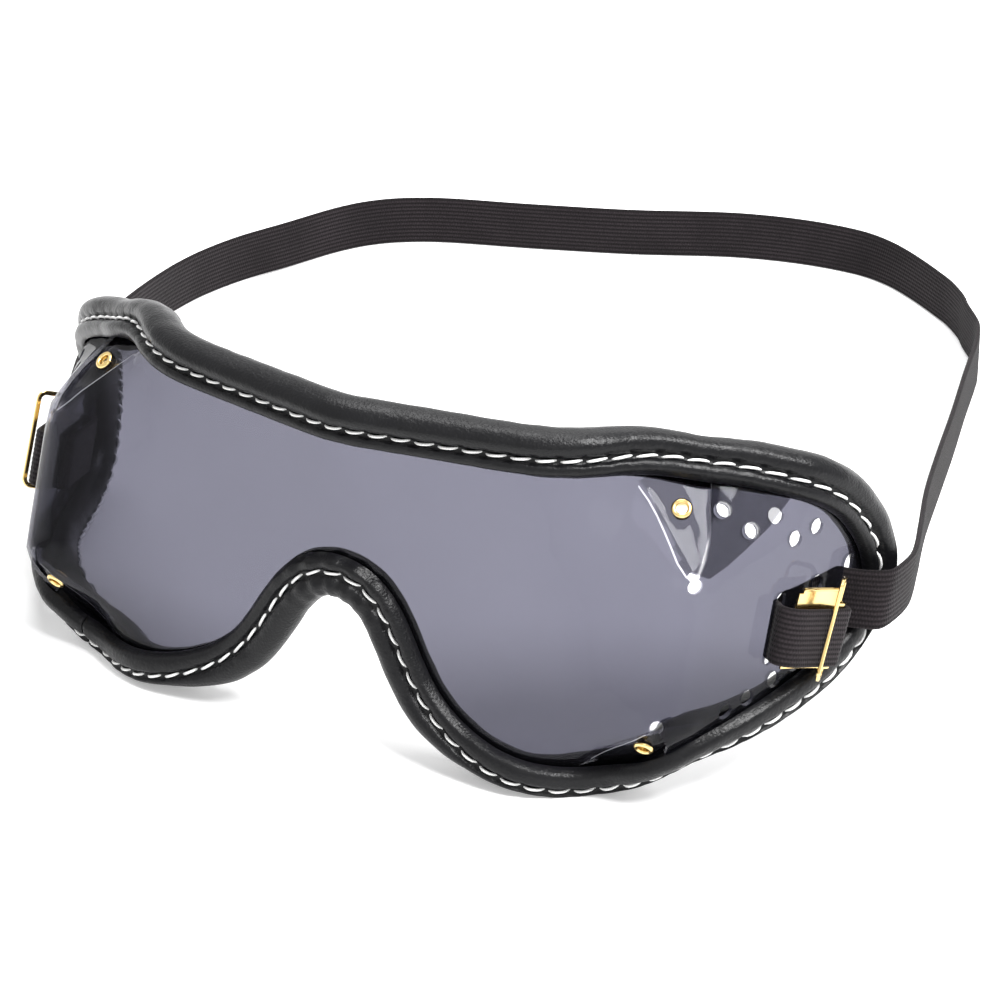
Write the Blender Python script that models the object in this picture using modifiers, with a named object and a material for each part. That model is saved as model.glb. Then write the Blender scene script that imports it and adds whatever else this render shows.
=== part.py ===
"""Wrap-around riding goggles with a folded one-piece lens, a sewn leather trim and an elastic strap.

Metres, +Z up. The wearer looks along -Y, and the goggles stand on their cheek pads with the strap
behind them on its edge. The lens is drawn flat, as the sheet that it is cut from, and then wrapped.
"""

import math

import bmesh
import bpy
from mathutils import Vector
from mathutils.geometry import delaunay_2d_cdt

# Lens sheet: the wrap of the front, the corners and the wings, its lean back and its curled corners
LENS_THICKNESS = 0.0008
FRONT_LENGTH = 0.068
FRONT_TURN_DEG = 4.0
CORNER_RADIUS = 0.012
CORNER_TURN_DEG = 62.0
WING_LENGTH = 0.055
WING_TURN_DEG = 12.0
RIGHT_CORNER_TURN_DEG = 68.0
RIGHT_WING_TURN_DEG = 2.0
RIGHT_WING_SAG_DEG = 16.0
LENS_LEAN_DEG = 22.0
LEAN_GROWTH_POWER = 0.8
NOSE_SETBACK = 0.0015
CURL_START_HEIGHT = 0.014
CURL_SOFTNESS = 0.005
SAG_SOFTNESS = 0.006
CURL_FULL_REACH = 0.008
UPPER_CURL_REACH = 0.032
LOWER_CURL_REACH = 0.034
UPPER_CURL_SLOPE = 0.85
LOWER_CURL_SLOPE = 1.05

# Outline of the lens inside the trim, one half, from the top centre round to the nose
OUTLINE_REACH = 0.1255
OUTLINE_RISE = 0.032
OUTLINE_SHARES = (
    (0.000, 1.000),
    (0.130, 0.985),
    (0.265, 0.985),
    (0.390, 0.995),
    (0.490, 0.980),
    (0.580, 0.965),
    (0.665, 0.925),
    (0.735, 0.850),
    (0.805, 0.745),
    (0.880, 0.570),
    (0.945, 0.310),
    (0.985, 0.110),
    (1.000, -0.080),
    (0.975, -0.290),
    (0.890, -0.430),
    (0.785, -0.500),
    (0.690, -0.590),
    (0.615, -0.740),
    (0.530, -0.870),
    (0.445, -0.930),
    (0.370, -0.885),
    (0.307, -0.840),
    (0.260, -0.770),
    (0.214, -0.670),
    (0.176, -0.510),
    (0.148, -0.310),
    (0.117, -0.080),
    (0.069, 0.120),
)
NOSE_ARCH_SHARE = 0.200
HALF_STATION_COUNT = 54
BEND_STATION_BOOST = 1.0
FRAME_SMOOTHING = 4
PLACE_SMOOTHING = 1
SQUARING = 0.6

# Darts at the corners: crease and slit meet in a relief hole, and the flap goes behind the wing
RELIEF_RADIUS = 0.0015
RELIEF_SEGMENTS = 8
FLAP_STEP = 0.0014
FLAP_START = 0.0027
DART_STEP = 0.0034
UPPER_TIP = (0.596 * OUTLINE_REACH, 0.4625 * OUTLINE_RISE)
UPPER_CREASE_TOP = (0.4622 * OUTLINE_REACH, 0.9437 * OUTLINE_RISE)
UPPER_SLIT_TOP = (0.6629 * OUTLINE_REACH, 0.9437 * OUTLINE_RISE)
UPPER_FLAP_SHARES = (
    (0.7849, 0.7656),
    (0.749, 0.6438),
    (0.7052, 0.5781),
    (0.6614, 0.525),
    (0.6255, 0.4938),
)
UPPER_FLAP = [(a * OUTLINE_REACH, b * OUTLINE_RISE) for a, b in UPPER_FLAP_SHARES]
LOWER_TIP = (0.5753 * OUTLINE_REACH, -0.4375 * OUTLINE_RISE)
LOWER_CREASE_TOP = (0.4343 * OUTLINE_REACH, -0.9375 * OUTLINE_RISE)
LOWER_SLIT_TOP = (0.6375 * OUTLINE_REACH, -0.7812 * OUTLINE_RISE)
LOWER_FLAP_SHARES = (
    (0.6869, -0.5938),
    (0.6574, -0.5312),
    (0.6255, -0.4938),
    (0.6072, -0.475),
)
LOWER_FLAP = [(a * OUTLINE_REACH, b * OUTLINE_RISE) for a, b in LOWER_FLAP_SHARES]

# Holes through the lens
VENT_RADIUS = 0.00175
VENT_SEGMENTS = 10
UPPER_VENT_SHARES = (
    (0.6709, 0.8),
    (0.7124, 0.6594),
    (0.7562, 0.7),
    (0.7984, 0.5125),
    (0.8462, 0.525),
    (0.8749, 0.1187),
)
UPPER_VENTS = [(a * OUTLINE_REACH, b * OUTLINE_RISE) for a, b in UPPER_VENT_SHARES]
LOWER_VENT_SHARES = (
    (0.7076, -0.4688),
    (0.7522, -0.4438),
    (0.808, -0.4062),
    (0.8526, -0.3687),
)
LOWER_VENTS = [(a * OUTLINE_REACH, b * OUTLINE_RISE) for a, b in LOWER_VENT_SHARES]
SLOT_WIDTH = 0.0028
FRONT_SLOT_LENGTH = 0.0150
REAR_SLOT_LENGTH = 0.0160
SLOT_END_SEGMENTS = 5
FRONT_SLOT_PLACE = 0.7888 * OUTLINE_REACH
REAR_SLOT_PLACE = 0.9498 * OUTLINE_REACH
FRONT_SLOT_HEIGHT = -0.0016
REAR_SLOT_HEIGHT = -0.0018

# Leather trim and the foam inside it, as a section across the lens edge
TRIM_WIDTH = 0.0098
TRIM_DEPTH = 0.0084
LENS_GRIP = 0.0050
CHEEK_LENS_GRIP = 0.0034
LEATHER_OUTER_SHARES = (
    (0.000, 0.107),
    (0.092, 0.321),
    (0.245, 0.345),
    (0.316, 0.250),
    (0.418, 0.250),
    (0.500, 0.381),
    (0.694, 0.440),
    (0.898, 0.274),
    (1.000, -0.071),
    (0.908, -0.393),
    (0.653, -0.548),
    (0.306, -0.536),
    (0.071, -0.405),
    (0.000, -0.262),
)
LEATHER_INNER_SHARES = (
    (0.092, -0.286),
    (0.316, -0.417),
    (0.633, -0.429),
    (0.806, -0.310),
    (0.888, -0.071),
    (0.806, 0.190),
    (0.673, 0.310),
)
CHEEK_OUTER_SHARES = (
    (0.000, 0.107),
    (0.085, 0.330),
    (0.330, 0.385),
    (0.430, 0.290),
    (0.530, 0.280),
    (0.590, 0.340),
    (0.640, 0.290),
    (0.675, 0.150),
    (0.690, -0.100),
    (0.680, -0.430),
    (0.560, -0.630),
    (0.300, -0.640),
    (0.071, -0.470),
    (0.000, -0.262),
)
CHEEK_INNER_SHARES = (
    (0.092, -0.290),
    (0.300, -0.520),
    (0.500, -0.510),
    (0.575, -0.380),
    (0.590, -0.100),
    (0.580, 0.080),
    (0.520, 0.200),
)
CHEEK_START_REACH = 0.022
CHEEK_FULL_REACH = 0.044
CHEEK_START_SLOPE = 0.35
CHEEK_FULL_SLOPE = 0.75
LIP_WIDTH = 0.0007
FOAM_LIP_WIDTH = 0.0013
FLAP_ROOM_STATIONS = 3
SEAM_SHARE = 0.735
SEAM_GAP = 0.0003
REST_FLAT_DEPTH = 0.0005

# Stitching along the trim
THREAD_RADIUS = 0.00035
THREAD_SIDES = 5
NEEDLE_LINE_SHARE = 0.367
CHEEK_NEEDLE_LINE_SHARE = 0.480
BOBBIN_LINE_SHARE = 0.480
CHEEK_BOBBIN_LINE_SHARE = 0.420

# Brass eyelets
EYELET_BORE_RADIUS = 0.00110
EYELET_BARREL_RADIUS = 0.00150
EYELET_FLANGE_RADIUS = 0.00215
EYELET_ROLL_RADIUS = 0.00190
EYELET_FLANGE_THICKNESS = 0.00045
EYELET_SEGMENTS = 20
EYELET_SEAT_RADIUS = 0.0025
UPPER_EYELET = (0.565 * OUTLINE_REACH, 0.838 * OUTLINE_RISE)
LOWER_EYELET = (0.5633 * OUTLINE_REACH, -0.6844 * OUTLINE_RISE)

# Elastic strap
STRAP_WIDTH = 0.0120
STRAP_THICKNESS = 0.0012
STRAP_STEP = 0.0060
FRONT_STRAP_HEIGHT = -0.0020
REAR_STRAP_HEIGHT = -0.0028

# Path of the head loop seen from above, and how high the lower edge of the band is over the rest plane
LOOP_SPREAD = 0.125
LOOP_DEPTH = 0.232
LOOP_RISE = 0.025
HEAD_LOOP_SHARES = (
    (0.800, 0.240, 1.000),
    (0.772, 0.294, 0.940),
    (0.716, 0.384, 0.790),
    (0.662, 0.484, 0.600),
    (0.608, 0.589, 0.420),
    (0.550, 0.697, 0.240),
    (0.496, 0.800, 0.080),
    (0.459, 0.845, 0.020),
    (0.420, 0.872, 0.000),
    (0.360, 0.908, 0.000),
    (0.200, 0.958, 0.000),
    (0.070, 0.965, 0.000),
    (-0.100, 0.945, 0.000),
    (-0.300, 0.898, 0.000),
    (-0.480, 0.862, 0.000),
    (-0.670, 0.825, 0.000),
    (-0.780, 0.780, 0.000),
    (-0.860, 0.705, 0.010),
    (-0.915, 0.640, 0.040),
    (-0.940, 0.560, 0.110),
    (-0.925, 0.440, 0.250),
    (-0.875, 0.330, 0.390),
    (-0.815, 0.250, 0.460),
)

# Brass buckle on each strap end
BUCKLE_REACH = 0.0124
BUCKLE_TILT_DEG = 6.0
TONGUE_THICKNESS = 0.0004
TONGUE_LENGTH = 0.0124
TONGUE_ABOVE = 0.0099
TONGUE_BELOW = 0.0068
BARREL_ABOVE = 0.0068
BARREL_BORE_RADIUS = 0.00095
ROLL_STEPS = 11
ROLL_END_DEG = 215.0
FRAME_LENGTH = 0.0214
FRAME_REACH = 0.0062
FRAME_STOCK = 0.0010
FRAME_THICKNESS = 0.0008
FRAME_CORNER_RADIUS = 0.0016
FRAME_CORNER_STEPS = 4
FRAME_REST_DEG = 38.0
RIGHT_FRAME_REST_DEG = 56.0
FRAME_RISE = 0.0015

# Clearances
CLEARANCE = 0.0003
SHEET_CLEARANCE = 0.0005
LAYER_CLEARANCE = 0.00035

# Spacing of the mesh that the sheet is wrapped with
ROW_STEP = 0.0052
FRONT_COLUMN_STEP = 0.0062
BEND_COLUMN_STEP = 0.0027
GRID_KEEP = 0.0019
SEAT_KEEP = 0.0034
RING_KEEP = 0.0011
NUMERIC_STEP = 0.00001

FLAP_DROP = LENS_THICKNESS + SHEET_CLEARANCE
EYELET_HOLE_RADIUS = EYELET_BARREL_RADIUS + 1.5 * CLEARANCE
CORNER_MIDDLE = FRONT_LENGTH + CORNER_RADIUS * math.radians(CORNER_TURN_DEG) / 2
BARREL_RADIUS = BARREL_BORE_RADIUS + TONGUE_THICKNESS
STRAP_TURN_RADIUS = BARREL_RADIUS + LAYER_CLEARANCE + STRAP_THICKNESS / 2
TAIL_LIFT = LENS_THICKNESS + STRAP_THICKNESS / 2
BUCKLE_LIFT = TAIL_LIFT + STRAP_TURN_RADIUS
SLOT_MARGIN = SLOT_WIDTH / 2
INNER_RUN_DROP = LENS_THICKNESS + 2 * CLEARANCE + STRAP_THICKNESS / 2


def clear_scene():
    for item in list(bpy.data.objects):
        bpy.data.objects.remove(item, do_unlink=True)


def advance(place, heading, length, turn, travel):
    """Go along an arc of a given length and turn."""
    if turn == 0:
        return place[0] + travel * math.cos(heading), place[1] + travel * math.sin(heading), heading
    radius = length / turn
    ahead = heading + turn * travel / length
    across = place[0] + radius * (math.sin(ahead) - math.sin(heading))
    back = place[1] + radius * (math.cos(heading) - math.cos(ahead))
    return across, back, ahead


def plan_point(travel):
    """Place and heading of the lens seen from above, at a distance from the middle."""
    side = -1 if travel < 0 else 1
    left = abs(travel)
    state = (0.0, -NOSE_SETBACK, 0.0)
    corner_length = CORNER_RADIUS * math.radians(CORNER_TURN_DEG)
    corner_turn = CORNER_TURN_DEG if side > 0 else RIGHT_CORNER_TURN_DEG
    wing_turn = WING_TURN_DEG if side > 0 else RIGHT_WING_TURN_DEG
    arcs = (
        (FRONT_LENGTH, math.radians(FRONT_TURN_DEG), FRONT_LENGTH),
        (corner_length, math.radians(corner_turn), corner_length),
        (WING_LENGTH, math.radians(wing_turn), 3 * WING_LENGTH),
    )
    for length, turn, limit in arcs:
        step = min(left, limit)
        state = advance(state[:2], state[2], length, turn, step)
        left -= step
        if left <= 0:
            break
    return side * state[0], state[1], state[2], side


def wrapped_point(travel, height):
    """Map a point of the flat sheet to the wrapped lens, its corners curled in and not yet folded."""
    across, back, heading, side = plan_point(travel)
    share = min(1.0, abs(travel) / CORNER_MIDDLE)
    lean = math.radians(LENS_LEAN_DEG) * share ** LEAN_GROWTH_POWER
    rise = max(0.0, abs(height) - CURL_START_HEIGHT)
    reach = UPPER_CURL_REACH if height > 0 else LOWER_CURL_REACH
    slope = UPPER_CURL_SLOPE if height > 0 else LOWER_CURL_SLOPE
    away = abs(abs(travel) - CORNER_MIDDLE)
    if away < CURL_FULL_REACH:
        weight = 1.0
    elif away > reach:
        weight = 0.0
    else:
        weight = 0.5 + 0.5 * math.cos(math.pi * (away - CURL_FULL_REACH) / (reach - CURL_FULL_REACH))
    curl = weight * slope * (math.hypot(rise, CURL_SOFTNESS) - CURL_SOFTNESS)
    sag = 0.0
    if side < 0:
        past = abs(travel) - CORNER_MIDDLE
        sag = math.tan(math.radians(RIGHT_WING_SAG_DEG)) * (math.hypot(past, SAG_SOFTNESS) + past) / 2
    return Vector((
        across - side * math.sin(heading) * curl,
        back + math.cos(heading) * curl + height * math.sin(lean),
        height * math.cos(lean) - sag,
    ))


def dart_span(height):
    """Where the crease and the slit of a dart stand at a height, if it is beyond the dart's tip."""
    if height > 0:
        tip, crease, slit = UPPER_TIP, UPPER_CREASE_TOP, UPPER_SLIT_TOP
    else:
        tip, crease, slit = LOWER_TIP, LOWER_CREASE_TOP, LOWER_SLIT_TOP
    first = (height - tip[1]) / (crease[1] - tip[1])
    second = (height - tip[1]) / (slit[1] - tip[1])
    if first <= 0:
        return None
    return tip[0] + first * (crease[0] - tip[0]), tip[0] + second * (slit[0] - tip[0])


def sheet_point(travel, height):
    """Map a point of the flat sheet to the outer face of the lens, pulled together across a dart."""
    span = dart_span(height)
    size = abs(travel)
    if span is None or not span[0] < size < span[1]:
        return wrapped_point(travel, height)
    side = -1 if travel < 0 else 1
    start = wrapped_point(side * span[0], height)
    end = wrapped_point(side * span[1], height)
    length = (end - start).length
    leaving = (start - wrapped_point(side * (span[0] - NUMERIC_STEP), height)).normalized() * length
    arriving = (wrapped_point(side * (span[1] + NUMERIC_STEP), height) - end).normalized() * length
    t = (size - span[0]) / (span[1] - span[0])
    from_start = start * (1 - 3 * t ** 2 + 2 * t ** 3) + leaving * (t - 2 * t ** 2 + t ** 3)
    from_end = end * (3 * t ** 2 - 2 * t ** 3) + arriving * (t ** 3 - t ** 2)
    return from_start + from_end


def sheet_axes(travel, height):
    """Unit directions along the sheet, up the sheet and out of its outer face."""
    along = sheet_point(travel + NUMERIC_STEP, height) - sheet_point(travel - NUMERIC_STEP, height)
    up = sheet_point(travel, height + NUMERIC_STEP) - sheet_point(travel, height - NUMERIC_STEP)
    along.normalize()
    up.normalize()
    out = along.cross(up)
    out.normalize()
    return along, up, out


def lifted(travel, height, lift):
    return sheet_point(travel, height) + sheet_axes(travel, height)[2] * lift


def spline(points, closed, per_segment):
    """Smooth curve through points of any dimension."""
    count = len(points)
    result = []
    last = count if closed else count - 1
    for index in range(last):
        if closed:
            four = [points[(index + shift) % count] for shift in (-1, 0, 1, 2)]
        else:
            four = [points[min(max(index + shift, 0), count - 1)] for shift in (-1, 0, 1, 2)]
        steps = per_segment[index] if isinstance(per_segment, list) else per_segment
        for step in range(steps):
            t = step / steps
            weights = (
                (-t + 2 * t ** 2 - t ** 3) / 2,
                (2 - 5 * t ** 2 + 3 * t ** 3) / 2,
                (t + 4 * t ** 2 - 3 * t ** 3) / 2,
                (-t ** 2 + t ** 3) / 2,
            )
            result.append(tuple(
                sum(weight * point[axis] for weight, point in zip(weights, four))
                for axis in range(len(points[0]))
            ))
    if not closed:
        result.append(tuple(points[-1]))
    return result


def half_outline():
    """Dense half of the outline, from the top centre to the nose centre."""
    right = [(OUTLINE_REACH * a, OUTLINE_RISE * b) for a, b in OUTLINE_SHARES]
    nose = (0.0, OUTLINE_RISE * NOSE_ARCH_SHARE)
    left = [(-a, b) for a, b in reversed(right[1:])]
    dense = spline(right + [nose] + left, True, 24)
    return dense[: 24 * len(right) + 1]


def crossing(start, end, outline):
    """Index on the dense outline where the line from start to end, made longer, crosses it."""
    line = Vector(end) - Vector(start)
    best = None
    for index in range(len(outline) - 1):
        a = Vector(outline[index]) - Vector(start)
        b = Vector(outline[index + 1]) - Vector(start)
        side_a = line.x * a.y - line.y * a.x
        side_b = line.x * b.y - line.y * b.x
        if side_a * side_b <= 0 and a.dot(line) > 0:
            if best is None or (a - line).length < best[1]:
                best = (index, (a - line).length)
    return best[0]


def make_stations():
    """Stations round the lens outline, the same for the lens edge and all that wraps it."""
    dense = half_outline()
    weight = [0.0]
    for first, second in zip(dense, dense[1:]):
        middle = (first[0] + second[0]) / 2
        away = abs(middle - CORNER_MIDDLE) / CORNER_MIDDLE
        boost = 1 + BEND_STATION_BOOST * math.exp(-((away * 5) ** 2))
        weight.append(weight[-1] + boost * (sheet_point(*first) - sheet_point(*second)).length)
    pins = {"start": 0, "end": len(dense) - 1}
    pins["upper_crease"] = crossing(UPPER_TIP, UPPER_CREASE_TOP, dense)
    pins["upper_slit"] = crossing(UPPER_TIP, UPPER_SLIT_TOP, dense)
    pins["upper_flap"] = crossing(UPPER_FLAP[1], UPPER_FLAP[0], dense)
    pins["lower_crease"] = crossing(LOWER_TIP, LOWER_CREASE_TOP, dense)
    pins["lower_slit"] = crossing(LOWER_TIP, LOWER_SLIT_TOP, dense)
    pins["lower_flap"] = crossing(LOWER_FLAP[1], LOWER_FLAP[0], dense)
    order = sorted(pins, key=lambda name: pins[name])
    spacing = weight[-1] / HALF_STATION_COUNT
    chosen = []
    names = {}
    for name, following in zip(order, order[1:]):
        names[name] = len(chosen)
        low = weight[pins[name]]
        high = weight[pins[following]]
        parts = max(1, round((high - low) / spacing))
        cursor = pins[name]
        for part in range(parts):
            target = low + (high - low) * part / parts
            while weight[cursor] < target:
                cursor += 1
            chosen.append(dense[cursor])
    names["end"] = len(chosen)
    half = chosen + [dense[-1]]
    full = half + [(-a, b) for a, b in reversed(half[1:-1])]
    return full, names


def station_frames(stations):
    """Place, outward direction and sheet normal at each station."""
    count = len(stations)
    frames = []
    for index, (travel, height) in enumerate(stations):
        before = Vector(stations[index - 1])
        after = Vector(stations[(index + 1) % count])
        here = Vector((travel, height))
        first = (here - before).normalized()
        second = (after - here).normalized()
        tangent = (first + second).normalized()
        outward = Vector((-tangent.y, tangent.x))
        step = here + outward * NUMERIC_STEP
        place = sheet_point(travel, height)
        run = (sheet_point(step.x, step.y) - place).normalized()
        frames.append((place, run, sheet_axes(travel, height)[2]))
    for number in range(FRAME_SMOOTHING):
        smoother = []
        for index in range(count):
            trio = (frames[index - 1], frames[index], frames[(index + 1) % count])
            weights = (0.25, 0.5, 0.25)
            smoother.append(tuple(
                sum((part[kind] * weight for part, weight in zip(trio, weights)), Vector())
                for kind in range(3)
            ))
        keep_places = number >= PLACE_SMOOTHING
        frames = [
            (frames[index][0] if keep_places else item[0], item[1].normalized(), item[2].normalized())
            for index, item in enumerate(smoother)
        ]
    result = []
    for index, (place, run, out) in enumerate(frames):
        ahead = (frames[(index + 1) % count][0] - frames[index - 1][0]).normalized()
        run = (run - ahead * run.dot(ahead) * SQUARING).normalized()
        out = (out - run * out.dot(run)).normalized()
        result.append((place, run, out, cheek_share(stations[index], run)))
    return result


def smooth_step(value, low, high):
    share = min(1.0, max(0.0, (value - low) / (high - low)))
    return share * share * (3 - 2 * share)


def cheek_share(station, run):
    """How far the cheek presses the trim together at a station, by its place and how far it faces down."""
    along = smooth_step(abs(station[0]), CHEEK_START_REACH, CHEEK_FULL_REACH)
    return along * smooth_step(-run.z, CHEEK_START_SLOPE, CHEEK_FULL_SLOPE)


def blended(first, second, share):
    """Two values, points or tables mixed by a share of the second."""
    if isinstance(first, tuple):
        return tuple(blended(a, b, share) for a, b in zip(first, second))
    return first + (second - first) * share


def make_material(name, colour, roughness, metallic, alpha=1.0):
    material = bpy.data.materials.new(name)
    material.use_nodes = True
    shader = material.node_tree.nodes["Principled BSDF"]
    shader.inputs["Base Color"].default_value = (*colour, 1.0)
    shader.inputs["Roughness"].default_value = roughness
    shader.inputs["Metallic"].default_value = metallic
    shader.inputs["Alpha"].default_value = alpha
    return material


def add_object(name, bm, material, collection, smooth=True):
    mesh = bpy.data.meshes.new(name)
    bmesh.ops.recalc_face_normals(bm, faces=bm.faces)
    bm.to_mesh(mesh)
    bm.free()
    mesh.materials.append(material)
    for polygon in mesh.polygons:
        polygon.use_smooth = smooth
    item = bpy.data.objects.new(name, mesh)
    collection.objects.link(item)
    return item


def inside(point, loop):
    result = False
    for first, second in zip(loop, loop[1:] + loop[:1]):
        if (first[1] > point[1]) != (second[1] > point[1]):
            share = (point[1] - first[1]) / (second[1] - first[1])
            if point[0] < first[0] + share * (second[0] - first[0]):
                result = not result
    return result


def segment_distance(point, first, second):
    line = (second[0] - first[0], second[1] - first[1])
    size = line[0] ** 2 + line[1] ** 2
    share = 0.0
    if size > 0:
        share = ((point[0] - first[0]) * line[0] + (point[1] - first[1]) * line[1]) / size
        share = min(1.0, max(0.0, share))
    return math.dist(point, (first[0] + share * line[0], first[1] + share * line[1]))


def sheet_circle(middle, radius, segments):
    """Points of the flat sheet that lie on a true circle once the sheet is wrapped."""
    travel, height = middle
    step = NUMERIC_STEP
    first = (sheet_point(travel + step, height) - sheet_point(travel - step, height)) / (2 * step)
    second = (sheet_point(travel, height + step) - sheet_point(travel, height - step)) / (2 * step)
    across = first.normalized()
    upward = (second - across * second.dot(across)).normalized()
    points = []
    for index in range(segments):
        angle = 2 * math.pi * index / segments
        rise = radius * math.sin(angle) / second.dot(upward)
        run = (radius * math.cos(angle) - rise * second.dot(across)) / first.length
        points.append((travel + run, height + rise))
    return points


def slot_loop(travel, height, length, side):
    """Round-ended slot that stands up the sheet."""
    radius = SLOT_WIDTH / 2
    straight = length / 2 - radius
    points = []
    for end, start in ((1, 0.0), (-1, math.pi)):
        for step in range(SLOT_END_SEGMENTS + 1):
            angle = start + math.pi * step / SLOT_END_SEGMENTS
            points.append((
                side * travel + radius * math.cos(angle),
                height + end * straight + radius * math.sin(angle),
            ))
    return points


def dart_points(tip, top, start):
    """Points of a dart line from its top down to a distance from the tip."""
    line = Vector(tip) - Vector(top)
    length = line.length - start
    parts = max(1, round(length / DART_STEP))
    unit = line.normalized()
    return [tuple(Vector(top) + unit * length * part / parts) for part in range(parts + 1)]


def mirrored(points, side):
    return [(side * a, b) for a, b in points]


def holes_of(side):
    vents = UPPER_VENTS + LOWER_VENTS
    loops = [sheet_circle((side * a, b), VENT_RADIUS, VENT_SEGMENTS) for a, b in vents]
    loops.append(slot_loop(FRONT_SLOT_PLACE, FRONT_SLOT_HEIGHT, FRONT_SLOT_LENGTH, side))
    loops.append(slot_loop(REAR_SLOT_PLACE, REAR_SLOT_HEIGHT, REAR_SLOT_LENGTH, side))
    for a, b in (UPPER_EYELET, LOWER_EYELET):
        loops.append(sheet_circle((side * a, b), EYELET_HOLE_RADIUS, EYELET_SEGMENTS // 2))
    return loops


def fits(loop, border, margin=CLEARANCE):
    """Whether a hole lies well inside a border."""
    for point in loop:
        if not inside(point, border):
            return False
        if min(segment_distance(point, a, b) for a, b in zip(border, border[1:] + border[:1])) < margin:
            return False
    return True


def grid_points():
    columns = [0.0]
    limit = OUTLINE_REACH + LENS_GRIP
    while columns[-1] < limit:
        here = columns[-1]
        near = abs(here - CORNER_MIDDLE) < CORNER_RADIUS
        columns.append(here + (BEND_COLUMN_STEP if near else FRONT_COLUMN_STEP))
    rows = []
    row = -OUTLINE_RISE * 1.2
    while row < OUTLINE_RISE * 1.2:
        rows.append(row)
        row += ROW_STEP
    points = []
    for number, column in enumerate(columns):
        for row in rows:
            shift = ROW_STEP / 2 if number % 2 else 0.0
            points.append((column, row + shift))
            if column > 0:
                points.append((-column, row + shift))
    return points


def triangulate(border, holes, forced, extra):
    """Triangles of a bordered region with holes, and the points that they use."""
    points = []
    edges = []
    for loop in [border] + holes:
        base = len(points)
        points.extend(loop)
        edges.extend((base + i, base + (i + 1) % len(loop)) for i in range(len(loop)))
    loops = [border] + holes
    segments = [(a, b) for loop in loops for a, b in zip(loop, loop[1:] + loop[:1])]
    for point in extra:
        if not inside(point, border) or any(inside(point, hole) for hole in holes):
            continue
        if min(segment_distance(point, a, b) for a, b in segments) < GRID_KEEP:
            continue
        points.append(point)
    points.extend(forced)
    found = delaunay_2d_cdt([Vector(point) for point in points], edges, [], 0, NUMERIC_STEP / 100, True)
    verts = [points[ids[0]] if ids else (vert.x, vert.y) for vert, ids in zip(found[0], found[3])]
    faces = []
    for face in found[2]:
        middle = tuple(sum(verts[i][axis] for i in face) / len(face) for axis in (0, 1))
        if inside(middle, border) and not any(inside(middle, hole) for hole in holes):
            faces.append(face)
    return verts, faces


class SheetBuilder:
    """Collects the sheet's faces with shared vertices."""

    def __init__(self, stations, frames):
        self.bm = bmesh.new()
        self.known = {}
        self.pinned = {}
        self.seats = {}
        for station, frame in zip(stations, frames):
            self.pinned[self.mark(station)] = frame
        for side in (1, -1):
            for spot in (UPPER_EYELET, LOWER_EYELET):
                for radius in (EYELET_HOLE_RADIUS, EYELET_SEAT_RADIUS):
                    for flat, place in zip(*seat_ring(spot, side, radius)):
                        self.seats[self.mark(flat)] = place

    def mark(self, point):
        return round(point[0] / NUMERIC_STEP), round(point[1] / NUMERIC_STEP)

    def vertex(self, point, drop):
        mark = self.mark(point)
        key = (*mark, drop > 0)
        if key not in self.known:
            if mark in self.pinned:
                place, run, out, cheek = self.pinned[mark]
                self.known[key] = self.bm.verts.new(place - out * drop)
            else:
                place = self.seats.get(mark) if drop > 0 else None
                if place is None:
                    place = lifted(point[0], point[1], -drop)
                self.known[key] = self.bm.verts.new(place)
        return self.known[key]

    def patch(self, verts, faces, drop_of):
        for face in faces:
            corners = [self.vertex(verts[i], drop_of(verts[i])) for i in face]
            self.bm.faces.new(corners)


def eyelet_seat(spot, side):
    """Middle and direction of the flat seat that an eyelet presses into a flap."""
    travel, height = side * spot[0], spot[1]
    return lifted(travel, height, -FLAP_DROP), sheet_axes(travel, height)[2]


def seat_ring(spot, side, radius):
    """Points of the flat sheet round an eyelet, and their exact places on its seat."""
    middle, axis = eyelet_seat(spot, side)
    flat = sheet_circle((side * spot[0], spot[1]), radius, EYELET_SEGMENTS // 2)
    across = sheet_axes(side * spot[0], spot[1])[0]
    upward = axis.cross(across)
    places = []
    for index in range(len(flat)):
        angle = 2 * math.pi * index / len(flat)
        places.append(middle + (across * math.cos(angle) + upward * math.sin(angle)) * radius)
    return flat, places


def dart_sets(names):
    return (
        (UPPER_TIP, UPPER_FLAP, names["upper_crease"], names["upper_slit"], names["upper_flap"], 1),
        (LOWER_TIP, LOWER_FLAP, names["lower_crease"], names["lower_slit"], names["lower_flap"], -1),
    )


def relief_arc(tip, from_point, to_point):
    """Points round the relief hole, the long way from the crease to the slit."""
    start = math.atan2(from_point[1] - tip[1], from_point[0] - tip[0])
    end = math.atan2(to_point[1] - tip[1], to_point[0] - tip[0])
    turn = end - start
    if abs(turn) < math.pi:
        turn -= math.copysign(2 * math.pi, turn)
    while abs(turn) > 2 * math.pi:
        turn -= math.copysign(2 * math.pi, turn)
    points = []
    for step in range(1, RELIEF_SEGMENTS):
        angle = start + turn * step / RELIEF_SEGMENTS
        points.append((tip[0] + RELIEF_RADIUS * math.cos(angle), tip[1] + RELIEF_RADIUS * math.sin(angle)))
    return points


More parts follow.
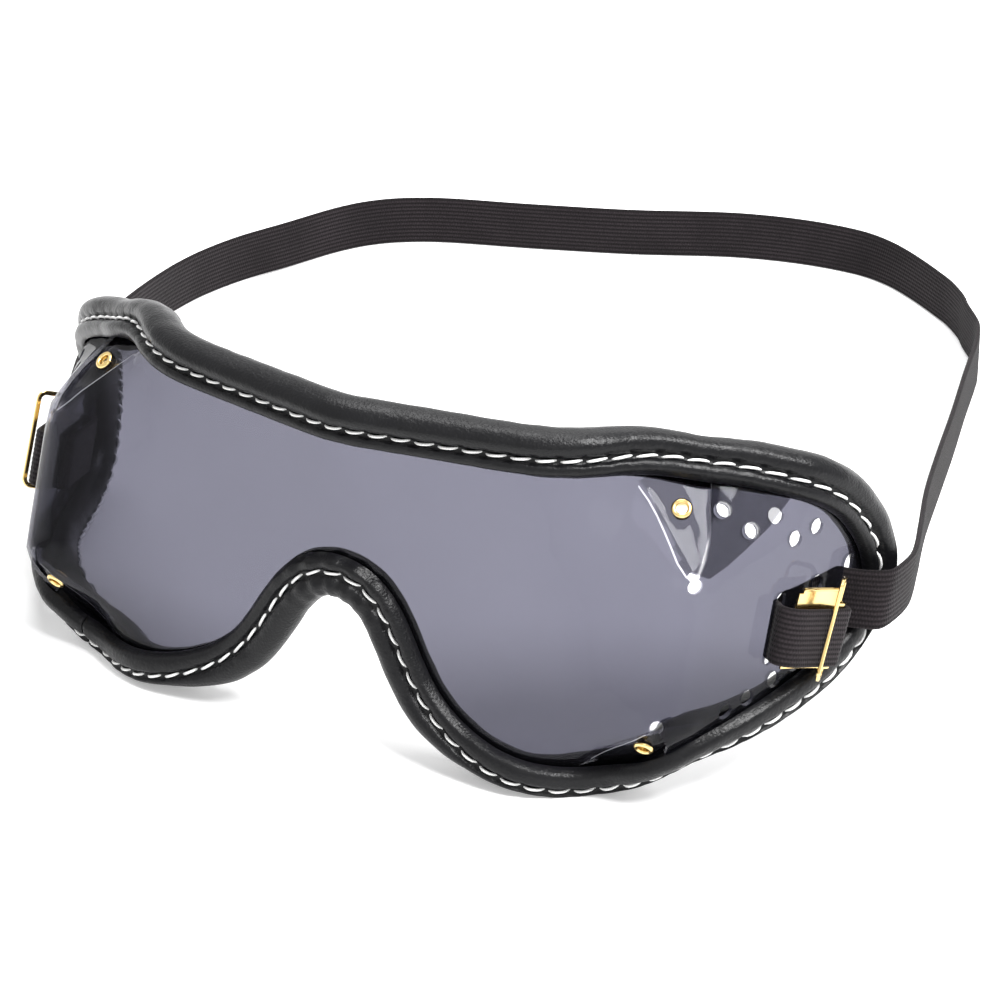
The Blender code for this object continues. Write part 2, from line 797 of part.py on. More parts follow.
def build_lens(stations, names, frames, material, collection):
    count = len(stations)
    sheet = SheetBuilder(stations, frames)
    grid = grid_points()
    side_border = {}
    edge_skip = set()
    flap_strips = []
    for side in (1, -1):
        for tip, flap, crease, slit, flap_top, upper in dart_sets(names):
            crease_i, slit_i, flap_i = crease, slit, flap_top
            if side < 0:
                crease_i, slit_i, flap_i = [(count - i) % count for i in (crease, slit, flap_top)]
            tip_s = (side * tip[0], tip[1])
            crease_line = dart_points(tip_s, stations[crease_i], RELIEF_RADIUS)
            slit_line = dart_points(tip_s, stations[slit_i], RELIEF_RADIUS)
            flap_crease = dart_points(tip_s, stations[crease_i], FLAP_START)
            crease_line = flap_crease + [crease_line[-1]]
            notch = crease_line[1:] + relief_arc(tip_s, crease_line[-1], slit_line[-1]) + slit_line[:0:-1]
            side_border[(crease_i, slit_i)] = notch
            step = 1 if flap_i > crease_i else -1
            run = list(range(crease_i, flap_i + step, step))
            flap_edge = mirrored(flap[1:], side)
            border = [stations[i] for i in run] + flap_edge
            inner = []
            direction = (Vector(flap_crease[-1]) - Vector(flap_crease[0])).normalized()
            sideways = Vector((-direction.y, direction.x))
            toward = Vector(stations[slit_i]) - Vector(stations[crease_i])
            if sideways.dot(toward) < 0:
                sideways = -sideways
            border.append(tuple(Vector(flap_crease[-1]) + sideways * FLAP_STEP))
            border += flap_crease[:0:-1]
            for point in flap_crease[1:-1]:
                inner.append(tuple(Vector(point) + sideways * FLAP_STEP))
            spot = UPPER_EYELET if upper > 0 else LOWER_EYELET
            seat = seat_ring(spot, side, EYELET_SEAT_RADIUS)[0]
            inner = [p for p in inner if math.dist(p, (side * spot[0], spot[1])) > SEAT_KEEP]
            inner += [p for p in seat if fits([p], border, RING_KEEP)]
            holes = [hole for hole in holes_of(side) if fits(hole, border)]
            crease_keys = {(round(a / NUMERIC_STEP), round(b / NUMERIC_STEP)) for a, b in flap_crease}
            flap_strips.append((border, holes, inner, crease_keys, run))
            low, high = min(crease_i, slit_i), max(crease_i, slit_i)
            if high - low < count / 2:
                edge_skip.update((i, i + 1) for i in range(low, high))
    border = []
    index = 0
    while index < count:
        border.append(stations[index])
        jumped = False
        for (crease_i, slit_i), notch in side_border.items():
            if index == min(crease_i, slit_i):
                border += notch if crease_i < slit_i else notch[::-1]
                index = max(crease_i, slit_i)
                jumped = True
                break
        if not jumped:
            index += 1
    holes = [hole for side in (1, -1) for hole in holes_of(side) if fits(hole, border)]
    verts, faces = triangulate(border, holes, [], grid)
    sheet.patch(verts, faces, lambda point: 0.0)
    for border, holes, inner, crease_keys, run in flap_strips:
        drop_of = flap_drop_rule(crease_keys)
        extra = [p for p in grid if min(math.dist(p, q) for q in inner + [border[0]]) > SEAT_KEEP]
        verts, faces = triangulate(border, holes, inner, extra)
        sheet.patch(verts, faces, drop_of)
        edge_strip(sheet, stations, frames, list(zip(run, run[1:])), drop_of)
    pairs = [(i, (i + 1) % count) for i in range(count) if (i, i + 1) not in edge_skip]
    edge_strip(sheet, stations, frames, pairs, lambda point: 0.0)
    bm = sheet.bm
    bmesh.ops.remove_doubles(bm, verts=bm.verts, dist=NUMERIC_STEP)
    bmesh.ops.recalc_face_normals(bm, faces=bm.faces)
    bm.faces.ensure_lookup_table()
    front = max(bm.faces, key=lambda face: -face.calc_center_median().y)
    if front.normal.y > 0:
        bmesh.ops.reverse_faces(bm, faces=bm.faces)
    item = add_sheet("lens", bm, material, collection)
    return item


def flap_drop_rule(crease_keys):
    def rule(point):
        key = (round(point[0] / NUMERIC_STEP), round(point[1] / NUMERIC_STEP))
        return 0.0 if key in crease_keys else FLAP_DROP
    return rule


def edge_strip(sheet, stations, frames, pairs, drop_of):
    """The hidden margin of the sheet that the trim grips."""
    edge = {}

    def edge_vertex(index):
        if index not in edge:
            place, run, out, cheek = frames[index]
            drop = drop_of(stations[index])
            key = ("edge", index, drop > 0)
            if key not in sheet.known:
                grip = blended(LENS_GRIP, CHEEK_LENS_GRIP, cheek)
                sheet.known[key] = sheet.bm.verts.new(place + run * grip - out * drop)
            edge[index] = sheet.known[key]
        return edge[index]

    for first, second in pairs:
        a = sheet.vertex(stations[first], drop_of(stations[first]))
        b = sheet.vertex(stations[second], drop_of(stations[second]))
        c, d = edge_vertex(second), edge_vertex(first)
        if second == (first + 1) % len(stations):
            split_face(sheet.bm, a, b, c, d)
        else:
            split_face(sheet.bm, d, a, b, c)


def add_sheet(name, bm, material, collection):
    mesh = bpy.data.meshes.new(name)
    bm.to_mesh(mesh)
    bm.free()
    mesh.materials.append(material)
    item = bpy.data.objects.new(name, mesh)
    collection.objects.link(item)
    shell = item.modifiers.new("Thickness", "SOLIDIFY")
    shell.thickness = LENS_THICKNESS
    shell.offset = -1.0
    shell.use_even_offset = False
    shell.use_rim = True
    return item


def offset_chain(points, distance):
    """Chain moved sideways, with mitred corners."""
    result = []
    for index, point in enumerate(points):
        here = Vector(point)
        before = here - Vector(points[index - 1]) if index > 0 else None
        after = Vector(points[index + 1]) - here if index + 1 < len(points) else None
        normals = [Vector((-line.y, line.x)).normalized() for line in (before, after) if line is not None]
        total = sum(normals, Vector((0.0, 0.0))).normalized()
        result.append(tuple(here + total * (distance / total.dot(normals[0]))))
    return result


def room_share(index, stations, names):
    """How far the trim is deepened at a station, to hold the double sheet of a dart flap."""
    count = len(stations)
    half = min(index, count - index)
    best = 0.0
    for low, high in (("upper_crease", "upper_flap"), ("lower_flap", "lower_crease")):
        first, last = names[low], names[high]
        if first > last:
            first, last = last, first
        away = max(first - half, half - last, 0)
        best = max(best, 1.0 - away / (FLAP_ROOM_STATIONS + 1))
    return max(0.0, best)


def split_face(bm, a, b, c, d):
    """Four-sided face as two triangles, split from its first corner to its third."""
    bm.faces.new((a, b, c))
    bm.faces.new((a, c, d))


def swept_ring(name, frames, section_of, material, collection, seam=None):
    """Sweep a section round the stations, closed or with a seam gap."""
    bm = bmesh.new()
    count = len(frames)
    order = list(range(count))
    rings = []
    if seam is not None:
        order = [(seam + step) % count for step in range(count + 1)]
    for position, index in enumerate(order):
        place, run, out, cheek = frames[index]
        shift = 0.0
        if seam is not None and position == 0:
            shift = SEAM_GAP / 2
        if seam is not None and position == count:
            shift = -SEAM_GAP / 2
        ahead = (frames[(index + 1) % count][0] - frames[index - 1][0]).normalized()
        rings.append([
            bm.verts.new(place + run * q + out * r + ahead * shift) for q, r in section_of(index)
        ])
    widths = [q for q, r in section_of(0)]
    pairs = list(zip(rings, rings[1:]))
    if seam is None:
        pairs.append((rings[-1], rings[0]))
    for first, second in pairs:
        for i in range(len(first)):
            j = (i + 1) % len(first)
            if widths[i] <= widths[j]:
                split_face(bm, first[i], first[j], second[j], second[i])
            else:
                split_face(bm, second[i], first[i], first[j], second[j])
    if seam is not None:
        bm.faces.new(rings[0])
        bm.faces.new(list(reversed(rings[-1])))
    return add_object(name, bm, material, collection)


def outer_outline(cheek):
    """Outside of the leather at a station, from the lens edge round to its rear."""
    shares = blended(LEATHER_OUTER_SHARES, CHEEK_OUTER_SHARES, cheek)
    return [(a * TRIM_WIDTH, b * TRIM_DEPTH) for a, b in shares]


def trim_sections(stations, names, frames):
    back_face = -(LENS_THICKNESS + CLEARANCE)

    def parts(index):
        cheek = frames[index][3]
        grip = blended(LENS_GRIP, CHEEK_LENS_GRIP, cheek)
        shares = blended(LEATHER_INNER_SHARES, CHEEK_INNER_SHARES, cheek)
        return grip, outer_outline(cheek), [(a * TRIM_WIDTH, b * TRIM_DEPTH) for a, b in shares]

    def shifted(section, index):
        drop = FLAP_DROP * room_share(index, stations, names)
        return [(q, r - drop if r < back_face + NUMERIC_STEP else r) for q, r in section]

    def leather(index):
        grip, outer, inner = parts(index)
        lip = [(0.0, back_face), (LIP_WIDTH, back_face)]
        return shifted(outer + lip + inner + [(grip + CLEARANCE, CLEARANCE), (0.0, CLEARANCE)], index)

    def foam(index):
        grip, outer, inner = parts(index)
        core = offset_chain(inner + [(grip + CLEARANCE, CLEARANCE)], CLEARANCE * 1.05)[:-1]
        section = [(FOAM_LIP_WIDTH, back_face)] + [point for point in core if point[0] > FOAM_LIP_WIDTH]
        section += [(grip + 2.2 * CLEARANCE, CLEARANCE * 1.2)]
        section += [(grip + CLEARANCE, -CLEARANCE / 2), (grip + CLEARANCE, back_face)]
        return shifted(section, index)

    return leather, foam


def thread_section(stations, names, frames, shares, front):
    """Round thread lying on the front or the back of the trim."""
    sign = 1 if front else -1
    lift = THREAD_RADIUS + CLEARANCE * 1.1

    def section(index):
        cheek = frames[index][3]
        line = blended(*shares, cheek) * TRIM_WIDTH
        outer = outer_outline(cheek)
        chain = outer[:9] if front else outer[8:]
        level = None
        for first, second in zip(chain, chain[1:]):
            low, high = sorted((first[0], second[0]))
            if low <= line <= high and high > low:
                share_here = (line - first[0]) / (second[0] - first[0])
                level = first[1] + share_here * (second[1] - first[1])
        drop = 0.0 if front else FLAP_DROP * room_share(index, stations, names)
        points = []
        for step in range(THREAD_SIDES):
            angle = 2 * math.pi * (step + 0.5) / THREAD_SIDES
            points.append((
                line + THREAD_RADIUS * math.cos(angle),
                level + sign * lift - drop + THREAD_RADIUS * math.sin(angle),
            ))
        return points

    return section


def ribbon(name, stops, material, collection, closed=False, origin=None):
    """Sweep a flat strip: each stop has its middle, its half width vector and its half thickness vector."""
    bm = bmesh.new()
    rings = []
    shift = origin if origin is not None else Vector()
    for middle, low, high, side in stops:
        rings.append([
            bm.verts.new(middle + low - side - shift),
            bm.verts.new(middle + high - side - shift),
            bm.verts.new(middle + high + side - shift),
            bm.verts.new(middle + low + side - shift),
        ])
    pairs = list(zip(rings, rings[1:]))
    if closed:
        pairs.append((rings[-1], rings[0]))
    for first, second in pairs:
        for i in range(4):
            j = (i + 1) % 4
            split_face(bm, first[i], first[j], second[j], second[i])
    if not closed:
        bm.faces.new(list(reversed(rings[0])))
        bm.faces.new(rings[-1])
    item = add_object(name, bm, material, collection, smooth=False)
    if origin is not None:
        item.location = origin
    return item


def build_eyelet(name, spot, side, material, collection):
    """Rolled eyelet, set through one dart flap."""
    outer_face, axis = eyelet_seat(spot, side)
    flange = EYELET_FLANGE_THICKNESS
    back = -(LENS_THICKNESS + CLEARANCE)
    profile = (
        (EYELET_BORE_RADIUS, CLEARANCE + flange),
        (EYELET_FLANGE_RADIUS - flange / 2, CLEARANCE + flange),
        (EYELET_FLANGE_RADIUS, CLEARANCE),
        (EYELET_BARREL_RADIUS, CLEARANCE),
        (EYELET_BARREL_RADIUS, back),
        (EYELET_ROLL_RADIUS, back),
        (EYELET_ROLL_RADIUS - flange / 2, back - flange),
        (EYELET_BORE_RADIUS, back - flange),
    )
    bm = bmesh.new()
    rings = []
    for step in range(EYELET_SEGMENTS):
        angle = 2 * math.pi * step / EYELET_SEGMENTS
        rings.append([
            bm.verts.new((radius * math.cos(angle), radius * math.sin(angle), level))
            for radius, level in profile
        ])
    for first, second in zip(rings, rings[1:] + rings[:1]):
        for i in range(len(first)):
            j = (i + 1) % len(first)
            bm.faces.new((first[i], first[j], second[j], second[i]))
    item = add_object(name, bm, material, collection)
    item.rotation_mode = "QUATERNION"
    item.rotation_quaternion = axis.to_track_quat("Z", "Y")
    item.location = outer_face
    return item


def buckle_axes(side):
    """Frame of the strap loop at the front slot: rearward, outward and up along the slot."""
    along, up, out = sheet_axes(side * FRONT_SLOT_PLACE, FRONT_STRAP_HEIGHT)
    rear = along * side
    rear = (rear - up * rear.dot(up)).normalized()
    slot = sheet_point(side * FRONT_SLOT_PLACE, FRONT_STRAP_HEIGHT)
    return slot, rear, out, up


def tilted(rear, up, share):
    """Up direction of the loop, tilted by a share of the buckle's tilt."""
    return (up + rear * math.tan(math.radians(BUCKLE_TILT_DEG)) * share).normalized()


def loop_profile():
    """Strap end in the loop as rearward and outward distances, from the free tail to the front slot."""
    reach = BUCKLE_REACH
    half = STRAP_THICKNESS / 2
    top = BUCKLE_LIFT + STRAP_TURN_RADIUS
    points = [(0.24 * reach, TAIL_LIFT), (0.62 * reach, TAIL_LIFT)]
    for step in range(9):
        angle = -math.pi / 2 + math.pi * step / 8
        points.append((
            reach + STRAP_TURN_RADIUS * math.cos(angle),
            BUCKLE_LIFT + STRAP_TURN_RADIUS * math.sin(angle),
        ))
    points += [
        (0.60 * reach, 0.985 * top),
        (0.22 * reach, 0.960 * top),
        (0.00 * reach, 0.900 * top),
        (-0.12 * reach, 0.720 * top),
        (-0.15 * reach, 0.480 * top),
        (-0.11 * reach, 0.240 * top),
        (-0.03 * reach, 0.040 * top),
        (-0.01 * reach, -1.2 * half),
        (0.015 * reach, -2.1 * half),
        (0.070 * reach, -0.985 * INNER_RUN_DROP),
        (0.160 * reach, -INNER_RUN_DROP),
    ]
    return points


def strap_stops(ground):
    """Middle line and up direction of the strap from one free tail to the other."""
    half = STRAP_THICKNESS / 2
    sides = []
    for side in (1, -1):
        slot, rear, out, up = buckle_axes(side)
        line = []
        for a, b in loop_profile():
            share = min(1.0, max(0.0, a / BUCKLE_REACH)) if b > 0 else 0.0
            line.append((slot + rear * a + out * b, tilted(rear, up, share)))
        places = (
            (FRONT_SLOT_PLACE + 3.4 * SLOT_MARGIN, -INNER_RUN_DROP),
            (FRONT_SLOT_PLACE + 6.5 * SLOT_MARGIN, -INNER_RUN_DROP),
            (REAR_SLOT_PLACE - 3.2 * SLOT_MARGIN, -INNER_RUN_DROP),
            (REAR_SLOT_PLACE - 1.9 * SLOT_MARGIN, -INNER_RUN_DROP),
            (REAR_SLOT_PLACE - 0.85 * SLOT_MARGIN, -0.925 * INNER_RUN_DROP),
            (REAR_SLOT_PLACE - 0.25 * SLOT_MARGIN, -2.0 * half),
            (REAR_SLOT_PLACE, -0.67 * half),
            (REAR_SLOT_PLACE + 0.18 * SLOT_MARGIN, 0.83 * half),
            (REAR_SLOT_PLACE + 0.50 * SLOT_MARGIN, 2.8 * half),
            (REAR_SLOT_PLACE + 1.20 * SLOT_MARGIN, 6.5 * half),
            (REAR_SLOT_PLACE + 2.90 * SLOT_MARGIN, 12.5 * half),
        )
        for travel, lift in places:
            share = (travel - FRONT_SLOT_PLACE) / (REAR_SLOT_PLACE - FRONT_SLOT_PLACE)
            height = FRONT_STRAP_HEIGHT + (REAR_STRAP_HEIGHT - FRONT_STRAP_HEIGHT) * share
            axes = sheet_axes(side * travel, height)
            line.append((lifted(side * travel, height, lift), axes[1]))
        sides.append(line)
    middle = []
    for across, back, rise in HEAD_LOOP_SHARES:
        place = Vector((
            across * LOOP_SPREAD,
            back * LOOP_DEPTH,
            ground + rise * LOOP_RISE + STRAP_WIDTH / 2,
        ))
        middle.append((place, None))
    control = sides[0] + middle + sides[1][::-1]
    up_first = sides[0][-1][1]
    total = len(middle)
    plain = []
    for index, (place, up) in enumerate(control):
        if up is None:
            number = index - len(sides[0])
            near = min(number, total - 1 - number)
            fade = max(0.0, 1.0 - (near + 1) / 4)
            up = (Vector((0.0, up_first.y, up_first.z)) * fade + Vector((0.0, 0.0, 1.0)) * (1 - fade)).normalized()
        plain.append((*place, *up))
    steps = []
    for first, second in zip(plain, plain[1:]):
        gap = math.dist(first[:3], second[:3])
        steps.append(max(1, min(12, round(gap / STRAP_STEP))) if gap > STRAP_THICKNESS * 3 else 2)
    for index in range(1, 10):
        steps[index] = 1
        steps[-1 - index] = 1
    dense = spline(plain, False, steps)
    stops = []
    for index, item in enumerate(dense):
        here = Vector(item[:3])
        here.z = max(here.z, ground + STRAP_WIDTH / 2)
        before = Vector(dense[max(index - 1, 0)][:3])
        after = Vector(dense[min(index + 1, len(dense) - 1)][:3])
        travel = (after - before).normalized()
        if here.z == ground + STRAP_WIDTH / 2:
            travel = Vector((travel.x, travel.y, 0.0)).normalized()
        up = Vector(item[3:]).normalized()
        slant = math.sqrt(1 - up.dot(travel) ** 2)
        across = travel.cross(up).normalized() * (STRAP_THICKNESS / 2)
        wide = up * (STRAP_WIDTH / 2 / slant)
        depth = min(1.0, (here.z - ground) / wide.z)
        stops.append((here, -wide * depth, wide, across))
    return stops


def tongue_line():
    """Rolled sheet of the tongue as rearward and outward distances from the barrel axis."""
    radius = BARREL_BORE_RADIUS + TONGUE_THICKNESS / 2
    points = [
        (-TONGUE_LENGTH, 0.0),
        (-0.45 * TONGUE_LENGTH, 0.0),
        (-0.26 * TONGUE_LENGTH, 0.18 * radius),
        (-0.13 * TONGUE_LENGTH, 0.80 * radius),
    ]
    for step in range(ROLL_STEPS + 1):
        angle = math.pi / 2 + math.radians(12) - math.radians(ROLL_END_DEG + 12) * step / ROLL_STEPS
        points.append((radius * math.cos(angle), radius * math.sin(angle)))
    return points


def build_tongue(name, side, material, collection):
    slot, rear, out, up = buckle_axes(side)
    up = tilted(rear, up, 1.0)
    origin = slot + rear * BUCKLE_REACH + out * BUCKLE_LIFT
    line = tongue_line()
    stops = []
    for index, (a, b) in enumerate(line):
        before = Vector(line[max(index - 1, 0)])
        after = Vector(line[min(index + 1, len(line) - 1)])
        travel = (after - before).normalized()
        normal = Vector((-travel.y, travel.x))
        across = (rear * normal.x + out * normal.y) * (TONGUE_THICKNESS / 2)
        tall = TONGUE_ABOVE if index < 4 else BARREL_ABOVE
        middle = origin + rear * a + out * b
        stops.append((middle, -up * TONGUE_BELOW, up * tall, across))
    item = ribbon(name, stops, material, collection, origin=origin)
    return item, origin


def build_frame(name, side, material, collection):
    """Flat-wire rectangle, its inner bar on the barrel axis."""
    slot, rear, out, up = buckle_axes(side)
    origin = slot + rear * BUCKLE_REACH + out * BUCKLE_LIFT
    rear = tilted(-up, rear, 1.0)
    up = out.cross(rear) * (1 if out.cross(rear).dot(up) > 0 else -1)
    angle = math.radians(FRAME_REST_DEG if side > 0 else RIGHT_FRAME_REST_DEG)
    reach = -rear * math.cos(angle) + out * math.sin(angle)
    plane = reach.cross(up).normalized()
    half = FRAME_LENGTH / 2 - FRAME_STOCK / 2 - FRAME_CORNER_RADIUS
    corners = (
        (FRAME_REACH - FRAME_CORNER_RADIUS, half, 0.0),
        (FRAME_CORNER_RADIUS, half, 90.0),
        (FRAME_CORNER_RADIUS, -half, 180.0),
        (FRAME_REACH - FRAME_CORNER_RADIUS, -half, 270.0),
    )
    stops = []
    for across, rise, start in corners:
        for step in range(FRAME_CORNER_STEPS + 1):
            turn = math.radians(start + 90.0 * step / FRAME_CORNER_STEPS)
            direction = reach * math.cos(turn) + up * math.sin(turn)
            middle = origin + reach * across + up * (FRAME_RISE + rise) + direction * FRAME_CORNER_RADIUS
            wide = direction * (FRAME_STOCK / 2)
            stops.append((middle, -wide, wide, plane * (FRAME_THICKNESS / 2)))
    return ribbon(name, stops, material, collection, closed=True, origin=origin)


def cut_rest_flat(item):
    """Cut the lowest parts of the soft cheek lobes flat, so that the goggles stand."""
    low = min(vert.co.z for vert in item.data.vertices)
    bm = bmesh.new()
    bm.from_mesh(item.data)
    level = low + REST_FLAT_DEPTH
    everything = bm.verts[:] + bm.edges[:] + bm.faces[:]
    bmesh.ops.bisect_plane(
        bm, geom=everything, dist=NUMERIC_STEP / 10, plane_co=(0, 0, level), plane_no=(0, 0, 1), clear_inner=True
    )
    rims = [edge for edge in bm.edges if edge.is_boundary]
    bmesh.ops.holes_fill(bm, edges=rims, sides=0)
    bmesh.ops.recalc_face_normals(bm, faces=bm.faces)
    bm.to_mesh(item.data)
    bm.free()
    return level


def main():
    clear_scene()
    collection = bpy.data.collections.new("riding_goggles")
    bpy.context.scene.collection.children.link(collection)
    smoke = make_material("smoke_lens", (0.30, 0.29, 0.36), 0.08, 0.0, 0.45)
    leather = make_material("leather", (0.030, 0.030, 0.032), 0.55, 0.0)
    foam = make_material("foam", (0.05, 0.05, 0.05), 0.95, 0.0)
    thread = make_material("thread", (0.85, 0.84, 0.80), 0.8, 0.0)
    brass = make_material("brass", (0.80, 0.60, 0.28), 0.25, 1.0)
    elastic = make_material("elastic", (0.028, 0.025, 0.027), 0.85, 0.0)

    stations, names = make_stations()
    frames = station_frames(stations)
    build_lens(stations, names, frames, smoke, collection)
    leather_section, foam_section = trim_sections(stations, names, frames)
    seam = len(stations) - round(SEAM_SHARE * names["end"])
    cover = swept_ring("leather_cover", frames, leather_section, leather, collection, seam)
    swept_ring("foam_core", frames, foam_section, foam, collection)
    needle_shares = (NEEDLE_LINE_SHARE, CHEEK_NEEDLE_LINE_SHARE)
    bobbin_shares = (BOBBIN_LINE_SHARE, CHEEK_BOBBIN_LINE_SHARE)
    needle = thread_section(stations, names, frames, needle_shares, True)
    bobbin = thread_section(stations, names, frames, bobbin_shares, False)
    swept_ring("needle_thread", frames, needle, thread, collection)
    swept_ring("bobbin_thread", frames, bobbin, thread, collection)
    ground = cut_rest_flat(cover)
    for side, word in ((1, "left"), (-1, "right")):
        build_eyelet("eyelet_upper_" + word, UPPER_EYELET, side, brass, collection)
        build_eyelet("eyelet_lower_" + word, LOWER_EYELET, side, brass, collection)
        build_tongue("buckle_tongue_" + word, side, brass, collection)
        build_frame("buckle_frame_" + word, side, brass, collection)
    ribbon("strap", strap_stops(ground), elastic, collection)

    bpy.context.view_layer.update()
    corners = []
    for item in collection.objects:
        corners.extend(item.matrix_world @ vert.co for vert in item.data.vertices)
    low = [min(corner[axis] for corner in corners) for axis in range(3)]
    high = [max(corner[axis] for corner in corners) for axis in range(3)]
    shift = Vector(((low[0] + high[0]) / 2, (low[1] + high[1]) / 2, low[2]))
    for item in collection.objects:
        item.location -= shift


main()
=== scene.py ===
"""Wrap-around riding goggles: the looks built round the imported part.

Laid out as an add-on and run as a script. The lens, the trim, the strap and the buckles are drawn again
from the sizes of the part, with more stations, and get their own materials. Metres, +Z up.
"""

import math

import bmesh
import bpy
from bpy.props import FloatProperty, FloatVectorProperty, IntProperty, PointerProperty
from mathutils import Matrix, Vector, kdtree, noise


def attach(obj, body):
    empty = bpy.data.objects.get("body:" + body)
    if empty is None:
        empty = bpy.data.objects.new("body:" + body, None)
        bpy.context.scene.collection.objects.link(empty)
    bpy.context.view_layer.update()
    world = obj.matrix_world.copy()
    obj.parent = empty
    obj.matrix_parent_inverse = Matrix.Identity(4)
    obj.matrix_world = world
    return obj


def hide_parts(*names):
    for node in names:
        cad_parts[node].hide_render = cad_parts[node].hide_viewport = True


bl_info = {
    "name": "Riding goggles",
    "version": (1, 0, 0),
    "blender": (4, 5, 0),
    "location": "3D View > Sidebar > Goggles",
    "description": "Builds the finished look of a pair of wrap-around riding goggles",
    "category": "Object",
}

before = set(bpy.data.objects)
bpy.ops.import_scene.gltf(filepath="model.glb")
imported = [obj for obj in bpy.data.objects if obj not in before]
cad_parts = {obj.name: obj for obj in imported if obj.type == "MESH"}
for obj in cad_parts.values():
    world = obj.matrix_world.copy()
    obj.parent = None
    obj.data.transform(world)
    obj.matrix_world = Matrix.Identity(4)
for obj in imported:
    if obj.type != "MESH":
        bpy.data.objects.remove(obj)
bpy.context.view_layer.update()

# Where the middle of the lens sheet's plan stands in the part
ORIGIN = Vector((0.00870, -0.10706, 0.03438))

# Lens sheet: the wrap of the front, the corners and the wings, its lean back and its curled corners
LENS_THICKNESS = 0.0008
FRONT_LENGTH = 0.068
FRONT_TURN_DEG = 4.0
CORNER_RADIUS = 0.012
CORNER_TURN_DEG = 62.0
WING_LENGTH = 0.055
WING_ARC_LIMIT = 3 * WING_LENGTH
WING_TURN_DEG = 12.0
RIGHT_CORNER_TURN_DEG = 68.0
RIGHT_WING_TURN_DEG = 2.0
RIGHT_WING_SAG_DEG = 16.0
LENS_LEAN_DEG = 22.0
LEAN_GROWTH_POWER = 0.8
NOSE_SETBACK = 0.0015
CURL_START_HEIGHT = 0.014
CURL_SOFTNESS = 0.005
SAG_SOFTNESS = 0.006
CURL_FULL_REACH = 0.008
UPPER_CURL_REACH = 0.032
LOWER_CURL_REACH = 0.034
UPPER_CURL_SLOPE = 0.85
LOWER_CURL_SLOPE = 1.05

# Outline of the lens inside the trim, one half, from the top centre round to the nose
OUTLINE_REACH = 0.1255
OUTLINE_RISE = 0.032
OUTLINE_SHARES = (
    (0.000, 1.000), (0.130, 0.985), (0.265, 0.985), (0.390, 0.995), (0.490, 0.980),
    (0.580, 0.965), (0.665, 0.925), (0.735, 0.850), (0.805, 0.745), (0.880, 0.570),
    (0.945, 0.310), (0.985, 0.110), (1.000, -0.080), (0.975, -0.290), (0.890, -0.430),
    (0.785, -0.500), (0.690, -0.590), (0.615, -0.740), (0.530, -0.870), (0.445, -0.930),
    (0.370, -0.885), (0.307, -0.840), (0.260, -0.770), (0.214, -0.670), (0.176, -0.510),
    (0.148, -0.310), (0.117, -0.080), (0.069, 0.120),
)
NOSE_ARCH_SHARE = 0.200
OUTLINE_STEPS = 24
HALF_STATION_COUNT = 54
BEND_STATION_BOOST = 1.0
BEND_STATION_NARROWNESS = 5
FRAME_SMOOTHING = 4
PLACE_SMOOTHING = 1
SMOOTHING_WEIGHTS = (0.25, 0.5, 0.25)
SQUARING = 0.6


def on_outline(across, rise):
    """Point of the flat sheet from its shares of the outline's reach and rise."""
    return across * OUTLINE_REACH, rise * OUTLINE_RISE


# Darts: the tip, the top of the crease, the top of the slit and the two ends of the flap's first edge.
# Crease and slit meet in a relief hole at the tip, and the flap goes behind the wing
DARTS = {
    "upper": (
        on_outline(0.596, 0.4625), on_outline(0.4622, 0.9437), on_outline(0.6629, 0.9437),
        (on_outline(0.7849, 0.7656), on_outline(0.749, 0.6438)),
    ),
    "lower": (
        on_outline(0.5753, -0.4375), on_outline(0.4343, -0.9375), on_outline(0.6375, -0.7812),
        (on_outline(0.6869, -0.5938), on_outline(0.6574, -0.5312)),
    ),
}

# Holes through the lens
SLOT_WIDTH = 0.0028
FRONT_SLOT_PLACE = 0.7888 * OUTLINE_REACH
REAR_SLOT_PLACE = 0.9498 * OUTLINE_REACH

# Leather trim and the foam inside it, as a section across the lens edge
TRIM_WIDTH = 0.0098
TRIM_DEPTH = 0.0084
LENS_GRIP = 0.0050
CHEEK_LENS_GRIP = 0.0034
LEATHER_OUTER_SHARES = (
    (0.000, 0.107), (0.092, 0.321), (0.245, 0.345), (0.316, 0.250), (0.418, 0.250),
    (0.500, 0.381), (0.694, 0.440), (0.898, 0.274), (1.000, -0.071), (0.908, -0.393),
    (0.653, -0.548), (0.306, -0.536), (0.071, -0.405), (0.000, -0.262),
)
CHEEK_OUTER_SHARES = (
    (0.000, 0.107), (0.085, 0.330), (0.330, 0.385), (0.430, 0.290), (0.530, 0.280),
    (0.590, 0.340), (0.640, 0.290), (0.675, 0.150), (0.690, -0.100), (0.680, -0.430),
    (0.560, -0.630), (0.300, -0.640), (0.071, -0.470), (0.000, -0.262),
)
CHEEK_START_REACH = 0.022
CHEEK_FULL_REACH = 0.044
CHEEK_START_SLOPE = 0.35
CHEEK_FULL_SLOPE = 0.75
FLAP_ROOM_STATIONS = 3
SEAM_SHARE = 0.735
SEAM_GAP = 0.0003

# Stitching along the trim
NEEDLE_LINE_SHARE = 0.367
CHEEK_NEEDLE_LINE_SHARE = 0.480
BOBBIN_LINE_SHARE = 0.480
CHEEK_BOBBIN_LINE_SHARE = 0.420

# Brass eyelets
EYELET_BORE_RADIUS = 0.00110
EYELET_BARREL_RADIUS = 0.00150
EYELET_FLANGE_RADIUS = 0.00215
EYELET_ROLL_RADIUS = 0.00190
EYELET_FLANGE_THICKNESS = 0.00045
EYELETS = {"upper": on_outline(0.565, 0.838), "lower": on_outline(0.5633, -0.6844)}

